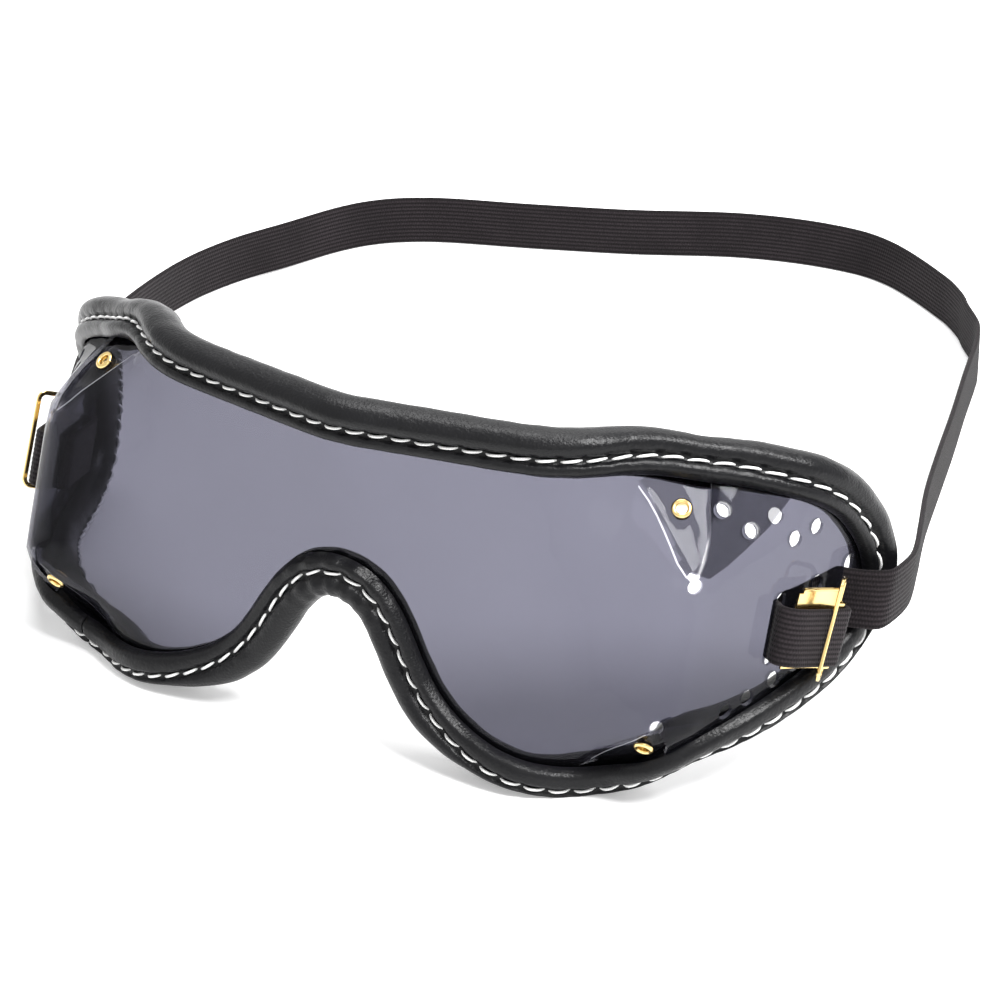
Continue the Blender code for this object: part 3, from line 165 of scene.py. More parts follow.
# Elastic strap
STRAP_WIDTH = 0.0120
STRAP_THICKNESS = 0.0012
STRAP_STEP = 0.0060
MOST_STRAP_STEPS = 12
SHORT_STRAP_GAP = 3
SHORT_STRAP_STEPS = 2
UPRIGHT_STOPS = 4
LOOP_STEPS = 8
FRONT_STRAP_HEIGHT = -0.0020
REAR_STRAP_HEIGHT = -0.0028

# Strap over the loop, as shares of the buckle's reach and of the loop's height
LOOP_TOP_SHARES = (
    (0.60, 0.985), (0.22, 0.960), (0.00, 0.900), (-0.12, 0.720), (-0.15, 0.480), (-0.11, 0.240),
    (-0.03, 0.040),
)
# Strap through the rear slot, in halves of the slot's width rearward and of the strap's thickness outward
REAR_SLOT_SHARES = ((-0.25, -2.0), (0.0, -0.67), (0.18, 0.83), (0.50, 2.8), (1.20, 6.5), (2.90, 12.5))

# Path of the head loop seen from above, and how high the lower edge of the band is over the rest plane
LOOP_SPREAD = 0.125
LOOP_DEPTH = 0.232
LOOP_RISE = 0.025
HEAD_LOOP_SHARES = (
    (0.800, 0.240, 1.000), (0.772, 0.294, 0.940), (0.716, 0.384, 0.790), (0.662, 0.484, 0.600),
    (0.608, 0.589, 0.420), (0.550, 0.697, 0.240), (0.496, 0.800, 0.080), (0.459, 0.845, 0.020),
    (0.420, 0.872, 0.000), (0.360, 0.908, 0.000), (0.200, 0.958, 0.000), (0.070, 0.965, 0.000),
    (-0.100, 0.945, 0.000), (-0.300, 0.898, 0.000), (-0.480, 0.862, 0.000), (-0.670, 0.825, 0.000),
    (-0.780, 0.780, 0.000), (-0.860, 0.705, 0.010), (-0.915, 0.640, 0.040), (-0.940, 0.560, 0.110),
    (-0.925, 0.440, 0.250), (-0.875, 0.330, 0.390), (-0.815, 0.250, 0.460),
)

# Brass buckle on each strap end
BUCKLE_REACH = 0.0124
BUCKLE_TILT_DEG = 6.0
TONGUE_THICKNESS = 0.0004
TONGUE_LENGTH = 0.0124
TONGUE_ABOVE = 0.0099
TONGUE_BELOW = 0.0068
BARREL_ABOVE = 0.0068
BARREL_BORE_RADIUS = 0.00095
ROLL_STEPS = 11
ROLL_END_DEG = 215.0
ROLL_OVERLAP_DEG = 12.0
FRAME_LENGTH = 0.0214
FRAME_REACH = 0.0062
FRAME_STOCK = 0.0010
FRAME_THICKNESS = 0.0008
FRAME_CORNER_RADIUS = 0.0016
FRAME_CORNER_STEPS = 8
FRAME_REST_DEG = 38.0
RIGHT_FRAME_REST_DEG = 56.0
FRAME_RISE = 0.0015

# Clearances
CLEARANCE = 0.0003
SHEET_CLEARANCE = 0.0005
LAYER_CLEARANCE = 0.00035

# Small step that gives the directions on the wrapped sheet
NUMERIC_STEP = 0.00001

FLAP_DROP = LENS_THICKNESS + SHEET_CLEARANCE
CORNER_MIDDLE = FRONT_LENGTH + CORNER_RADIUS * math.radians(CORNER_TURN_DEG) / 2
BARREL_RADIUS = BARREL_BORE_RADIUS + TONGUE_THICKNESS
STRAP_TURN_RADIUS = BARREL_RADIUS + LAYER_CLEARANCE + STRAP_THICKNESS / 2
TAIL_LIFT = LENS_THICKNESS + STRAP_THICKNESS / 2
BUCKLE_LIFT = TAIL_LIFT + STRAP_TURN_RADIUS
SLOT_MARGIN = SLOT_WIDTH / 2
INNER_RUN_DROP = LENS_THICKNESS + 2 * CLEARANCE + STRAP_THICKNESS / 2


def advance(place, heading, length, turn, travel):
    """Go along an arc of a given length and turn."""
    if turn == 0:
        return place[0] + travel * math.cos(heading), place[1] + travel * math.sin(heading), heading
    radius = length / turn
    ahead = heading + turn * travel / length
    across = place[0] + radius * (math.sin(ahead) - math.sin(heading))
    back = place[1] + radius * (math.cos(heading) - math.cos(ahead))
    return across, back, ahead


def plan_point(travel):
    """Place and heading of the lens seen from above, at a distance from the middle."""
    side = -1 if travel < 0 else 1
    left = abs(travel)
    state = (0.0, -NOSE_SETBACK, 0.0)
    corner_length = CORNER_RADIUS * math.radians(CORNER_TURN_DEG)
    corner_turn = CORNER_TURN_DEG if side > 0 else RIGHT_CORNER_TURN_DEG
    wing_turn = WING_TURN_DEG if side > 0 else RIGHT_WING_TURN_DEG
    arcs = (
        (FRONT_LENGTH, math.radians(FRONT_TURN_DEG), FRONT_LENGTH),
        (corner_length, math.radians(corner_turn), corner_length),
        (WING_LENGTH, math.radians(wing_turn), WING_ARC_LIMIT),
    )
    for length, turn, limit in arcs:
        step = min(left, limit)
        state = advance(state[:2], state[2], length, turn, step)
        left -= step
        if left <= 0:
            break
    return side * state[0], state[1], state[2], side


def wrapped_point(travel, height):
    """Map a point of the flat sheet to the wrapped lens, its corners curled in and not yet folded."""
    across, back, heading, side = plan_point(travel)
    share = min(1.0, abs(travel) / CORNER_MIDDLE)
    lean = math.radians(LENS_LEAN_DEG) * share ** LEAN_GROWTH_POWER
    rise = max(0.0, abs(height) - CURL_START_HEIGHT)
    reach = UPPER_CURL_REACH if height > 0 else LOWER_CURL_REACH
    slope = UPPER_CURL_SLOPE if height > 0 else LOWER_CURL_SLOPE
    away = abs(abs(travel) - CORNER_MIDDLE)
    if away < CURL_FULL_REACH:
        weight = 1.0
    elif away > reach:
        weight = 0.0
    else:
        weight = 0.5 + 0.5 * math.cos(math.pi * (away - CURL_FULL_REACH) / (reach - CURL_FULL_REACH))
    curl = weight * slope * (math.hypot(rise, CURL_SOFTNESS) - CURL_SOFTNESS)
    sag = 0.0
    if side < 0:
        past = abs(travel) - CORNER_MIDDLE
        sag = math.tan(math.radians(RIGHT_WING_SAG_DEG)) * (math.hypot(past, SAG_SOFTNESS) + past) / 2
    return Vector((
        across - side * math.sin(heading) * curl,
        back + math.cos(heading) * curl + height * math.sin(lean),
        height * math.cos(lean) - sag,
    ))


def dart_span(height):
    """Where the crease and the slit of a dart stand at a height, if it is beyond the dart's tip."""
    tip, crease, slit = DARTS["upper" if height > 0 else "lower"][:3]
    first = (height - tip[1]) / (crease[1] - tip[1])
    second = (height - tip[1]) / (slit[1] - tip[1])
    if first <= 0:
        return None
    return tip[0] + first * (crease[0] - tip[0]), tip[0] + second * (slit[0] - tip[0])


def sheet_point(travel, height):
    """Map a point of the flat sheet to the outer face of the lens, pulled together across a dart."""
    span = dart_span(height)
    size = abs(travel)
    if span is None or not span[0] < size < span[1]:
        return wrapped_point(travel, height)
    side = -1 if travel < 0 else 1
    start = wrapped_point(side * span[0], height)
    end = wrapped_point(side * span[1], height)
    length = (end - start).length
    leaving = (start - wrapped_point(side * (span[0] - NUMERIC_STEP), height)).normalized() * length
    arriving = (wrapped_point(side * (span[1] + NUMERIC_STEP), height) - end).normalized() * length
    t = (size - span[0]) / (span[1] - span[0])
    from_start = start * (1 - 3 * t ** 2 + 2 * t ** 3) + leaving * (t - 2 * t ** 2 + t ** 3)
    from_end = end * (3 * t ** 2 - 2 * t ** 3) + arriving * (t ** 3 - t ** 2)
    return from_start + from_end


def sheet_axes(travel, height):
    """Unit directions along the sheet, up the sheet and out of its outer face."""
    along = sheet_point(travel + NUMERIC_STEP, height) - sheet_point(travel - NUMERIC_STEP, height)
    up = sheet_point(travel, height + NUMERIC_STEP) - sheet_point(travel, height - NUMERIC_STEP)
    along.normalize()
    up.normalize()
    out = along.cross(up)
    out.normalize()
    return along, up, out


def lifted(travel, height, lift):
    """Point over or under the outer face of the lens."""
    return sheet_point(travel, height) + sheet_axes(travel, height)[2] * lift


def spline(points, closed, per_segment):
    """Smooth curve through points of any dimension."""
    count = len(points)
    result = []
    last = count if closed else count - 1
    for index in range(last):
        if closed:
            four = [points[(index + shift) % count] for shift in (-1, 0, 1, 2)]
        else:
            four = [points[min(max(index + shift, 0), count - 1)] for shift in (-1, 0, 1, 2)]
        steps = per_segment[index] if isinstance(per_segment, list) else per_segment
        for step in range(steps):
            t = step / steps
            weights = (
                (-t + 2 * t ** 2 - t ** 3) / 2,
                (2 - 5 * t ** 2 + 3 * t ** 3) / 2,
                (t + 4 * t ** 2 - 3 * t ** 3) / 2,
                (-t ** 2 + t ** 3) / 2,
            )
            result.append(tuple(
                sum(weight * point[axis] for weight, point in zip(weights, four))
                for axis in range(len(points[0]))
            ))
    if not closed:
        result.append(tuple(points[-1]))
    return result


def half_outline():
    """Dense half of the outline, from the top centre to the nose centre."""
    right = [on_outline(*shares) for shares in OUTLINE_SHARES]
    nose = on_outline(0.0, NOSE_ARCH_SHARE)
    left = [(-a, b) for a, b in reversed(right[1:])]
    dense = spline(right + [nose] + left, True, OUTLINE_STEPS)
    return dense[:OUTLINE_STEPS * len(right) + 1]


def crossing(start, end, outline):
    """Index on the dense outline where the line from start to end, made longer, crosses it."""
    line = Vector(end) - Vector(start)
    best = None
    for index in range(len(outline) - 1):
        a = Vector(outline[index]) - Vector(start)
        b = Vector(outline[index + 1]) - Vector(start)
        side_a = line.x * a.y - line.y * a.x
        side_b = line.x * b.y - line.y * b.x
        if side_a * side_b <= 0 and a.dot(line) > 0:
            if best is None or (a - line).length < best[1]:
                best = (index, (a - line).length)
    return best[0]


def make_stations():
    """Stations round the lens outline, the same for the lens edge and all that wraps it."""
    dense = half_outline()
    weight = [0.0]
    for first, second in zip(dense, dense[1:]):
        middle = (first[0] + second[0]) / 2
        away = abs(middle - CORNER_MIDDLE) / CORNER_MIDDLE
        boost = 1 + BEND_STATION_BOOST * math.exp(-((away * BEND_STATION_NARROWNESS) ** 2))
        weight.append(weight[-1] + boost * (sheet_point(*first) - sheet_point(*second)).length)
    pins = {"start": 0, "end": len(dense) - 1}
    for level, (tip, crease, slit, flap) in DARTS.items():
        pins[level + "_crease"] = crossing(tip, crease, dense)
        pins[level + "_slit"] = crossing(tip, slit, dense)
        pins[level + "_flap"] = crossing(flap[1], flap[0], dense)
    order = sorted(pins, key=lambda name: pins[name])
    spacing = weight[-1] / HALF_STATION_COUNT
    chosen = []
    names = {}
    for name, following in zip(order, order[1:]):
        names[name] = len(chosen)
        low = weight[pins[name]]
        high = weight[pins[following]]
        parts = max(1, round((high - low) / spacing))
        cursor = pins[name]
        for part in range(parts):
            target = low + (high - low) * part / parts
            while weight[cursor] < target:
                cursor += 1
            chosen.append(dense[cursor])
    names["end"] = len(chosen)
    half = chosen + [dense[-1]]
    full = half + [(-a, b) for a, b in reversed(half[1:-1])]
    return full, names


def station_frames(stations):
    """Place, outward direction and sheet normal at each station."""
    count = len(stations)
    frames = []
    for index, (travel, height) in enumerate(stations):
        before = Vector(stations[index - 1])
        after = Vector(stations[(index + 1) % count])
        here = Vector((travel, height))
        first = (here - before).normalized()
        second = (after - here).normalized()
        tangent = (first + second).normalized()
        outward = Vector((-tangent.y, tangent.x))
        step = here + outward * NUMERIC_STEP
        place = sheet_point(travel, height)
        run = (sheet_point(step.x, step.y) - place).normalized()
        frames.append((place, run, sheet_axes(travel, height)[2]))
    for number in range(FRAME_SMOOTHING):
        smoother = []
        for index in range(count):
            trio = (frames[index - 1], frames[index], frames[(index + 1) % count])
            smoother.append(tuple(
                sum((part[kind] * weight for part, weight in zip(trio, SMOOTHING_WEIGHTS)), Vector())
                for kind in range(3)
            ))
        keep_places = number >= PLACE_SMOOTHING
        frames = [
            (frames[index][0] if keep_places else item[0], item[1].normalized(), item[2].normalized())
            for index, item in enumerate(smoother)
        ]
    result = []
    for index, (place, run, out) in enumerate(frames):
        ahead = (frames[(index + 1) % count][0] - frames[index - 1][0]).normalized()
        run = (run - ahead * run.dot(ahead) * SQUARING).normalized()
        out = (out - run * out.dot(run)).normalized()
        result.append((place, run, out, cheek_share(stations[index], run)))
    return result


def smooth_step(value, low, high):
    """0 up to the low value, 1 from the high value on, and a soft slope between them."""
    share = min(1.0, max(0.0, (value - low) / (high - low)))
    return share * share * (3 - 2 * share)


def cheek_share(station, run):
    """How far the cheek presses the trim together at a station, by its place and how far it faces down."""
    along = smooth_step(abs(station[0]), CHEEK_START_REACH, CHEEK_FULL_REACH)
    return along * smooth_step(-run.z, CHEEK_START_SLOPE, CHEEK_FULL_SLOPE)


def blended(first, second, share):
    """Two values, points or tables mixed by a share of the second."""
    if isinstance(first, tuple):
        return tuple(blended(a, b, share) for a, b in zip(first, second))
    return first + (second - first) * share


def eyelet_seat(spot, side):
    """Middle and direction of the flat seat that an eyelet presses into a flap."""
    travel, height = side * spot[0], spot[1]
    return lifted(travel, height, -FLAP_DROP), sheet_axes(travel, height)[2]


def room_share(index, stations, names):
    """How far the trim is deepened at a station, to hold the double sheet of a dart flap."""
    count = len(stations)
    half = min(index, count - index)
    best = 0.0
    for low, high in (("upper_crease", "upper_flap"), ("lower_flap", "lower_crease")):
        first, last = names[low], names[high]
        if first > last:
            first, last = last, first
        away = max(first - half, half - last, 0)
        best = max(best, 1.0 - away / (FLAP_ROOM_STATIONS + 1))
    return max(0.0, best)


def outer_outline(cheek):
    """Outside of the leather at a station, from the lens edge round to its rear."""
    shares = blended(LEATHER_OUTER_SHARES, CHEEK_OUTER_SHARES, cheek)
    return [(a * TRIM_WIDTH, b * TRIM_DEPTH) for a, b in shares]


def buckle_axes(side):
    """Frame of the strap loop at the front slot: rearward, outward and up along the slot."""
    along, up, out = sheet_axes(side * FRONT_SLOT_PLACE, FRONT_STRAP_HEIGHT)
    rear = along * side
    rear = (rear - up * rear.dot(up)).normalized()
    slot = sheet_point(side * FRONT_SLOT_PLACE, FRONT_STRAP_HEIGHT)
    return slot, rear, out, up


def tilted(rear, up, share):
    """Up direction of the loop, tilted by a share of the buckle's tilt."""
    return (up + rear * math.tan(math.radians(BUCKLE_TILT_DEG)) * share).normalized()


def loop_profile():
    """Strap end in the loop as rearward and outward distances, from the free tail to the front slot."""
    reach = BUCKLE_REACH
    half = STRAP_THICKNESS / 2
    top = BUCKLE_LIFT + STRAP_TURN_RADIUS
    points = [(0.24 * reach, TAIL_LIFT), (0.62 * reach, TAIL_LIFT)]
    for step in range(LOOP_STEPS + 1):
        angle = -math.pi / 2 + math.pi * step / LOOP_STEPS
        points.append((
            reach + STRAP_TURN_RADIUS * math.cos(angle),
            BUCKLE_LIFT + STRAP_TURN_RADIUS * math.sin(angle),
        ))
    points += [(a * reach, b * top) for a, b in LOOP_TOP_SHARES]
    points += [
        (-0.01 * reach, -1.2 * half),
        (0.015 * reach, -2.1 * half),
        (0.070 * reach, -0.985 * INNER_RUN_DROP),
        (0.160 * reach, -INNER_RUN_DROP),
    ]
    return points


def strap_stops(ground):
    """Middle line and up direction of the strap from one free tail to the other."""
    half = STRAP_THICKNESS / 2
    sides = []
    for side in (1, -1):
        slot, rear, out, up = buckle_axes(side)
        line = []
        for a, b in loop_profile():
            share = min(1.0, max(0.0, a / BUCKLE_REACH)) if b > 0 else 0.0
            line.append((slot + rear * a + out * b, tilted(rear, up, share)))
        places = (
            (FRONT_SLOT_PLACE + 3.4 * SLOT_MARGIN, -INNER_RUN_DROP),
            (FRONT_SLOT_PLACE + 6.5 * SLOT_MARGIN, -INNER_RUN_DROP),
            (REAR_SLOT_PLACE - 3.2 * SLOT_MARGIN, -INNER_RUN_DROP),
            (REAR_SLOT_PLACE - 1.9 * SLOT_MARGIN, -INNER_RUN_DROP),
            (REAR_SLOT_PLACE - 0.85 * SLOT_MARGIN, -0.925 * INNER_RUN_DROP),
            *((REAR_SLOT_PLACE + a * SLOT_MARGIN, b * half) for a, b in REAR_SLOT_SHARES),
        )
        for travel, lift in places:
            share = (travel - FRONT_SLOT_PLACE) / (REAR_SLOT_PLACE - FRONT_SLOT_PLACE)
            height = FRONT_STRAP_HEIGHT + (REAR_STRAP_HEIGHT - FRONT_STRAP_HEIGHT) * share
            axes = sheet_axes(side * travel, height)
            line.append((lifted(side * travel, height, lift), axes[1]))
        sides.append(line)
    middle = []
    for across, back, rise in HEAD_LOOP_SHARES:
        place = Vector((
            across * LOOP_SPREAD,
            back * LOOP_DEPTH,
            ground + rise * LOOP_RISE + STRAP_WIDTH / 2,
        ))
        middle.append((place, None))
    control = sides[0] + middle + sides[1][::-1]
    up_first = sides[0][-1][1]
    total = len(middle)
    plain = []
    for index, (place, up) in enumerate(control):
        if up is None:
            number = index - len(sides[0])
            near = min(number, total - 1 - number)
            fade = max(0.0, 1.0 - (near + 1) / UPRIGHT_STOPS)
            upright = Vector((0.0, up_first.y, up_first.z)) * fade + Vector((0.0, 0.0, 1.0)) * (1 - fade)
            up = upright.normalized()
        plain.append((*place, *up))
    steps = []
    for first, second in zip(plain, plain[1:]):
        gap = math.dist(first[:3], second[:3])
        parts = max(1, min(MOST_STRAP_STEPS, round(gap / STRAP_STEP)))
        steps.append(parts if gap > STRAP_THICKNESS * SHORT_STRAP_GAP else SHORT_STRAP_STEPS)
    for index in range(1, LOOP_STEPS + 2):
        steps[index] = 1
        steps[-1 - index] = 1
    dense = spline(plain, False, steps)
    stops = []
    for index, item in enumerate(dense):
        here = Vector(item[:3])
        here.z = max(here.z, ground + STRAP_WIDTH / 2)
        before = Vector(dense[max(index - 1, 0)][:3])
        after = Vector(dense[min(index + 1, len(dense) - 1)][:3])
        travel = (after - before).normalized()
        if here.z == ground + STRAP_WIDTH / 2:
            travel = Vector((travel.x, travel.y, 0.0)).normalized()
        up = Vector(item[3:]).normalized()
        slant = math.sqrt(1 - up.dot(travel) ** 2)
        across = travel.cross(up).normalized() * (STRAP_THICKNESS / 2)
        wide = up * (STRAP_WIDTH / 2 / slant)
        depth = min(1.0, (here.z - ground) / wide.z)
        stops.append((here, -wide * depth, wide, across))
    return stops


def tongue_line():
    """Rolled sheet of the tongue as rearward and outward distances from the barrel axis."""
    radius = BARREL_BORE_RADIUS + TONGUE_THICKNESS / 2
    points = [
        (-TONGUE_LENGTH, 0.0),
        (-0.45 * TONGUE_LENGTH, 0.0),
        (-0.26 * TONGUE_LENGTH, 0.18 * radius),
        (-0.13 * TONGUE_LENGTH, 0.80 * radius),
    ]
    start = math.pi / 2 + math.radians(ROLL_OVERLAP_DEG)
    sweep = math.radians(ROLL_END_DEG + ROLL_OVERLAP_DEG)
    for step in range(ROLL_STEPS + 1):
        angle = start - sweep * step / ROLL_STEPS
        points.append((radius * math.cos(angle), radius * math.sin(angle)))
    return points


# Stations of the trim and the strap between those of the part, and the trim's section point at its outer end
TRIM_STEPS = 9
SECTION_STEPS = 4
TRIM_PEAK = 8 * SECTION_STEPS
STRAP_STEPS = 3

# Needlework on the trim
STITCH_SINK = 0.00040
STITCH_CROWN = 0.00040
STITCH_SLANT = 0.00040
STITCH_RINGS = 7
STITCH_SIDES = 8
STITCH_RADIUS = 0.00031
STITCH_CROWN_POWER = 2.6
STITCH_END_TAPER = 0.35
HOLE_DEPTH = 0.00030
HOLE_RADIUS = 0.00080
PULL_WIDTH = 0.00110
PUCKER_REACH = 0.00260
GATHER_DEPTH = 0.00160
GATHER_LIMIT = 0.00046
GATHER_START = 0.10
GATHER_SPAN = 2
HAND_UNEVENNESS = 0.00012
HAND_SCALE = 230.0
SEAM_DEPTH = 0.00022
SEAM_WIDTH = 0.00040
PITCH_SWING = 0.18

# Creases, cut edges and flaps of the lens, as sizes and as material slots
CREASE_WIDTH = 0.00022
CREASE_STEPS = 40
CREASE_SEGMENTS = 2
CREASE_REACH = 0.00045
RIM_SHARE = 0.00060
HOLE_RIM_LIMIT = 0.100
FOLD_DEG = 50.0
LEAST_CREASE_DEG = 8.0
FLAP_SAMPLE = 0.0008
FLAP_SEARCH = 0.0035
CREASE, CUT_EDGE, HOLE_RIM, DART_FLAP, TUCKED_FLAP = 1, 2, 3, 4, 5
CREASE_OPACITY = 0.38
CUT_EDGE_OPACITY = 0.20
SAW_SCALE = 1600.0
DART_SHADE = 0.76
TUCKED_TINT = (0.66, 0.66, 0.67)

# Ribbed band: how far its round edge reaches in, in thicknesses, and how thin the edge and a furrow get
STRAP_EDGE_REACH = 1.6
STRAP_EDGE_SHARE = 0.28
STRAP_EDGE_SWELL = 0.72
STRAP_LEAST_SHARE = 0.15

# Metal edges and rims
WIRE_BEVEL = 0.00018
SHEET_BEVEL = 0.00010
TONGUE_NOTCH = 0.0011
TONGUE_RIM_RADIUS = 0.00034
TONGUE_STEP_WIDTH = 0.01
TONGUE_ROLL_STEPS = 3
TONGUE_RIM_STEPS = 4
TONGUE_RIM_SIDES = 10
TONGUE_RIM_SEAT = 0.9
TONGUE_RIM_END = 0.4
EYELET_SIDES = 40
FLANGE_RISE = 1.25

# Angle from which an edge stays sharp
LENS_SHARP_DEG = 28.0
BUCKLE_SHARP_DEG = 35.0
EYELET_SHARP_DEG = 50.0
SEWN_SHARP_DEG = 60.0
STRAP_SHARP_DEG = 70.0

SIDES = ((1, "left"), (-1, "right"))

# The eyelet's roll from the bore over the flange and back, as shares of the flange's width and rise
FLANGE_SHARES = (
    (0.00, 0.10), (0.06, 0.62), (0.26, 0.95), (0.52, 1.00),
    (0.78, 0.82), (0.95, 0.42), (1.00, 0.00),
)

# Camera and lights of the photograph
VIEW_TARGET = Vector((0.01844, -0.05704, 0.02807))
VIEW_AZIMUTH_DEG = 27.5
VIEW_ELEVATION_DEG = 31.0
VIEW_DISTANCE = 0.992
VIEW_LENS_MM = 170.6
VIEW_SENSOR_MM = 36.0
FLOOR_RADIUS = 6.0
FLOOR_SIDES = 96
FLOOR_GLOW = 0.30
WHITE = (1.0, 1.0, 1.0, 1.0)
LIGHTS = (
    ("key", (-0.15, 0.15, 1.10), 0.50, 0.80),
    ("front", (0.55, -1.10, 0.75), 0.60, 0.15),
    ("side", (0.57, -0.12, 0.96), 0.50, 2.20),
    ("rear", (-0.15, 0.90, 0.85), 0.90, 0.45),
)


def colour_field(name, description, default):
    return FloatVectorProperty(
        name=name, description=description, subtype="COLOR", size=3, min=0.0, max=1.0, default=default,
    )


def number_field(name, description, kind, low, high, default):
    return FloatProperty(
        name=name, description=description, subtype=kind, min=low, max=high, default=default,
    )


class GogglesLens(bpy.types.PropertyGroup):
    tint: colour_field("Tint", "Light that one face of the smoke sheet lets through", (0.415, 0.413, 0.466))
    gloss: number_field(
        "Gloss", "Share of the sheet's face that mirrors, seen head on", "FACTOR", 0.0, 1.0, 0.16,
    )


class GogglesTrim(bpy.types.PropertyGroup):
    leather: colour_field("Leather", "Colour of the leather cover", (0.006, 0.006, 0.007))
    thread: colour_field("Thread", "Colour of the sewing thread", (0.96, 0.96, 0.95))
    pitch: number_field(
        "Stitch pitch", "Distance from one needle hole to the next", "DISTANCE", 0.002, 0.012, 0.0046,
    )
    gap: number_field("Stitch gap", "Bare leather between two stitches", "DISTANCE", 0.0, 0.002, 0.0007)
    grain: number_field("Grain", "Size of one cell of the leather grain", "DISTANCE", 0.0001, 0.002, 0.00055)


class GogglesStrap(bpy.types.PropertyGroup):
    elastic: colour_field("Elastic", "Colour of the woven elastic", (0.013, 0.0105, 0.0118))
    ribs: IntProperty(name="Ribs", description="Ribs across the band", min=4, max=24, default=12)
    rib_depth: number_field(
        "Rib depth", "Depth of the furrow between two ribs", "DISTANCE", 0.0, 0.0004, 0.00009,
    )


class GogglesBrass(bpy.types.PropertyGroup):
    brass: colour_field("Brass", "Colour of the brass", (0.83, 0.62, 0.27))
    polish: number_field("Polish", "Roughness of the polished brass", "FACTOR", 0.0, 1.0, 0.17)


class GogglesStage(bpy.types.PropertyGroup):
    floor: colour_field("Floor", "Colour of the floor", (0.82, 0.82, 0.82))
    key: number_field("Key light", "Power of the large soft light", "NONE", 0.0, 100.0, 9.0)
    daylight: number_field("Daylight", "Even light from all round", "NONE", 0.0, 2.0, 0.55)


# ---------------------------------------------------------------- materials

def node(tree, kind, values=None, **settings):
    """One shader node with its settings, its sockets set or linked by name or number."""
    made = tree.nodes.new(kind)
    for key, value in settings.items():
        setattr(made, key, value)
    for key, value in (values or {}).items():
        if isinstance(value, bpy.types.NodeSocket):
            tree.links.new(value, made.inputs[key])
        else:
            made.inputs[key].default_value = value
    return made


def maths(tree, operation, *values):
    """One sum, product or other function of shader values."""
    return node(tree, "ShaderNodeMath", dict(enumerate(values)), operation=operation).outputs[0]


def place_on(tree):
    return node(tree, "ShaderNodeTexCoord").outputs["Object"]


def speckle(tree, scale, detail, place=None):
    """Noise over a piece, from 0 to 1."""
    where = place_on(tree) if place is None else place
    return node(tree, "ShaderNodeTexNoise", {"Vector": where, "Scale": scale, "Detail": detail}).outputs[0]


def plain_material(name, colour, roughness, more=None):
    """New material, the sockets of its shader set by name."""
    material = bpy.data.materials.new(name)
    material.use_nodes = True
    tree = material.node_tree
    shader = tree.nodes["Principled BSDF"]
    for key, value in {"Base Color": (*colour, 1.0), "Roughness": roughness, **(more or {})}.items():
        shader.inputs[key].default_value = value
    return material, tree, shader


def ranged(tree, value, low, high):
    """A pattern's 0 to 1 spread over another range."""
    return node(tree, "ShaderNodeMapRange", {"Value": value, "To Min": low, "To Max": high}).outputs[0]


def tinted(tree, value, dark, light):
    """A pattern's 0 to 1 as a mix of two colours."""
    mix = node(tree, "ShaderNodeMix", {0: value, 6: (*dark, 1.0), 7: (*light, 1.0)}, data_type="RGBA")
    return mix.outputs[2]


def scaled(colour, share):
    return tuple(min(1.0, part * share) for part in colour)


def coloured(tree, shader, value, dark, light):
    """Colour the shader by a pattern, between two colours."""
    tree.links.new(tinted(tree, value, dark, light), shader.inputs["Base Color"])


def shaded(tree, shader, value, colour, dark, light):
    """Colour the shader by a pattern, between two shares of one colour."""
    coloured(tree, shader, value, scaled(colour, dark), scaled(colour, light))


def roughened(tree, shader, value, low, high):
    tree.links.new(ranged(tree, value, low, high), shader.inputs["Roughness"])


def raised(tree, shader, height, distance, strength):
    bump = node(tree, "ShaderNodeBump", {"Height": height, "Distance": distance, "Strength": strength})
    tree.links.new(bump.outputs[0], shader.inputs["Normal"])


def shown(tree, surface):
    tree.links.new(surface.outputs[0], tree.nodes["Material Output"].inputs["Surface"])


def see_through(tree, shader, tint, share):
    """Give a material a share of its shader, and let it be clear and tinted for the rest."""
    clear = node(tree, "ShaderNodeBsdfTransparent", {"Color": tint})
    shown(tree, node(tree, "ShaderNodeMixShader", {0: share, 1: clear.outputs[0], 2: shader.outputs[0]}))


def smoke_material(settings, name, tint):
    """Smoke sheet: light is filtered by each face, and the sheet darkens where it is seen at a slant."""
    material, tree, shader = plain_material(name, (0.016, 0.016, 0.020), 0.06, {"Specular IOR Level": 0.5})
    roughened(tree, shader, speckle(tree, 45.0, 2.0), 0.03, 0.07)
    raised(tree, shader, speckle(tree, 26.0, 0.0), 0.0006, 0.18)
    cloudy = tinted(tree, speckle(tree, 18.0, 2.0), scaled(tint, 0.97), scaled(tint, 1.03))
    facing = node(tree, "ShaderNodeLayerWeight", {"Blend": 0.26}).outputs["Facing"]
    see_through(tree, shader, cloudy, ranged(tree, facing, settings.gloss, 0.50))
    return material


def shaded_hole_rim_material():
    """Rim of a hole through the sheet: dark partly for the smoke sheet seen end on and partly as painted
    shade inside the hole.
    """
    material, tree, shader = plain_material("hole_rim_painted_shade", (0.05, 0.05, 0.06), 0.22)
    # dark colour: the sheet seen end on, and painted shade inside the hole
    coloured(tree, shader, speckle(tree, SAW_SCALE, 2.0), (0.02, 0.02, 0.03), (0.10, 0.10, 0.12))
    see_through(tree, shader, (0.42, 0.42, 0.48, 1.0), 0.55)
    return material


def pale_highlight_edge_material(name, share):
    """Cut edge or crease of the sheet: a little frosted, and pale partly as a painted highlight of the light
    these edges catch.
    """
    material, tree, shader = plain_material(name, (0.70, 0.70, 0.76), 0.28)
    saw = speckle(tree, SAW_SCALE, 2.0)
    # pale colour: the frosted finish, and a painted highlight along the edge
    coloured(tree, shader, saw, (0.30, 0.30, 0.36), (0.92, 0.92, 0.96))
    raised(tree, shader, saw, 0.00004, 0.5)
    see_through(tree, shader, (0.85, 0.85, 0.90, 1.0), share)
    return material


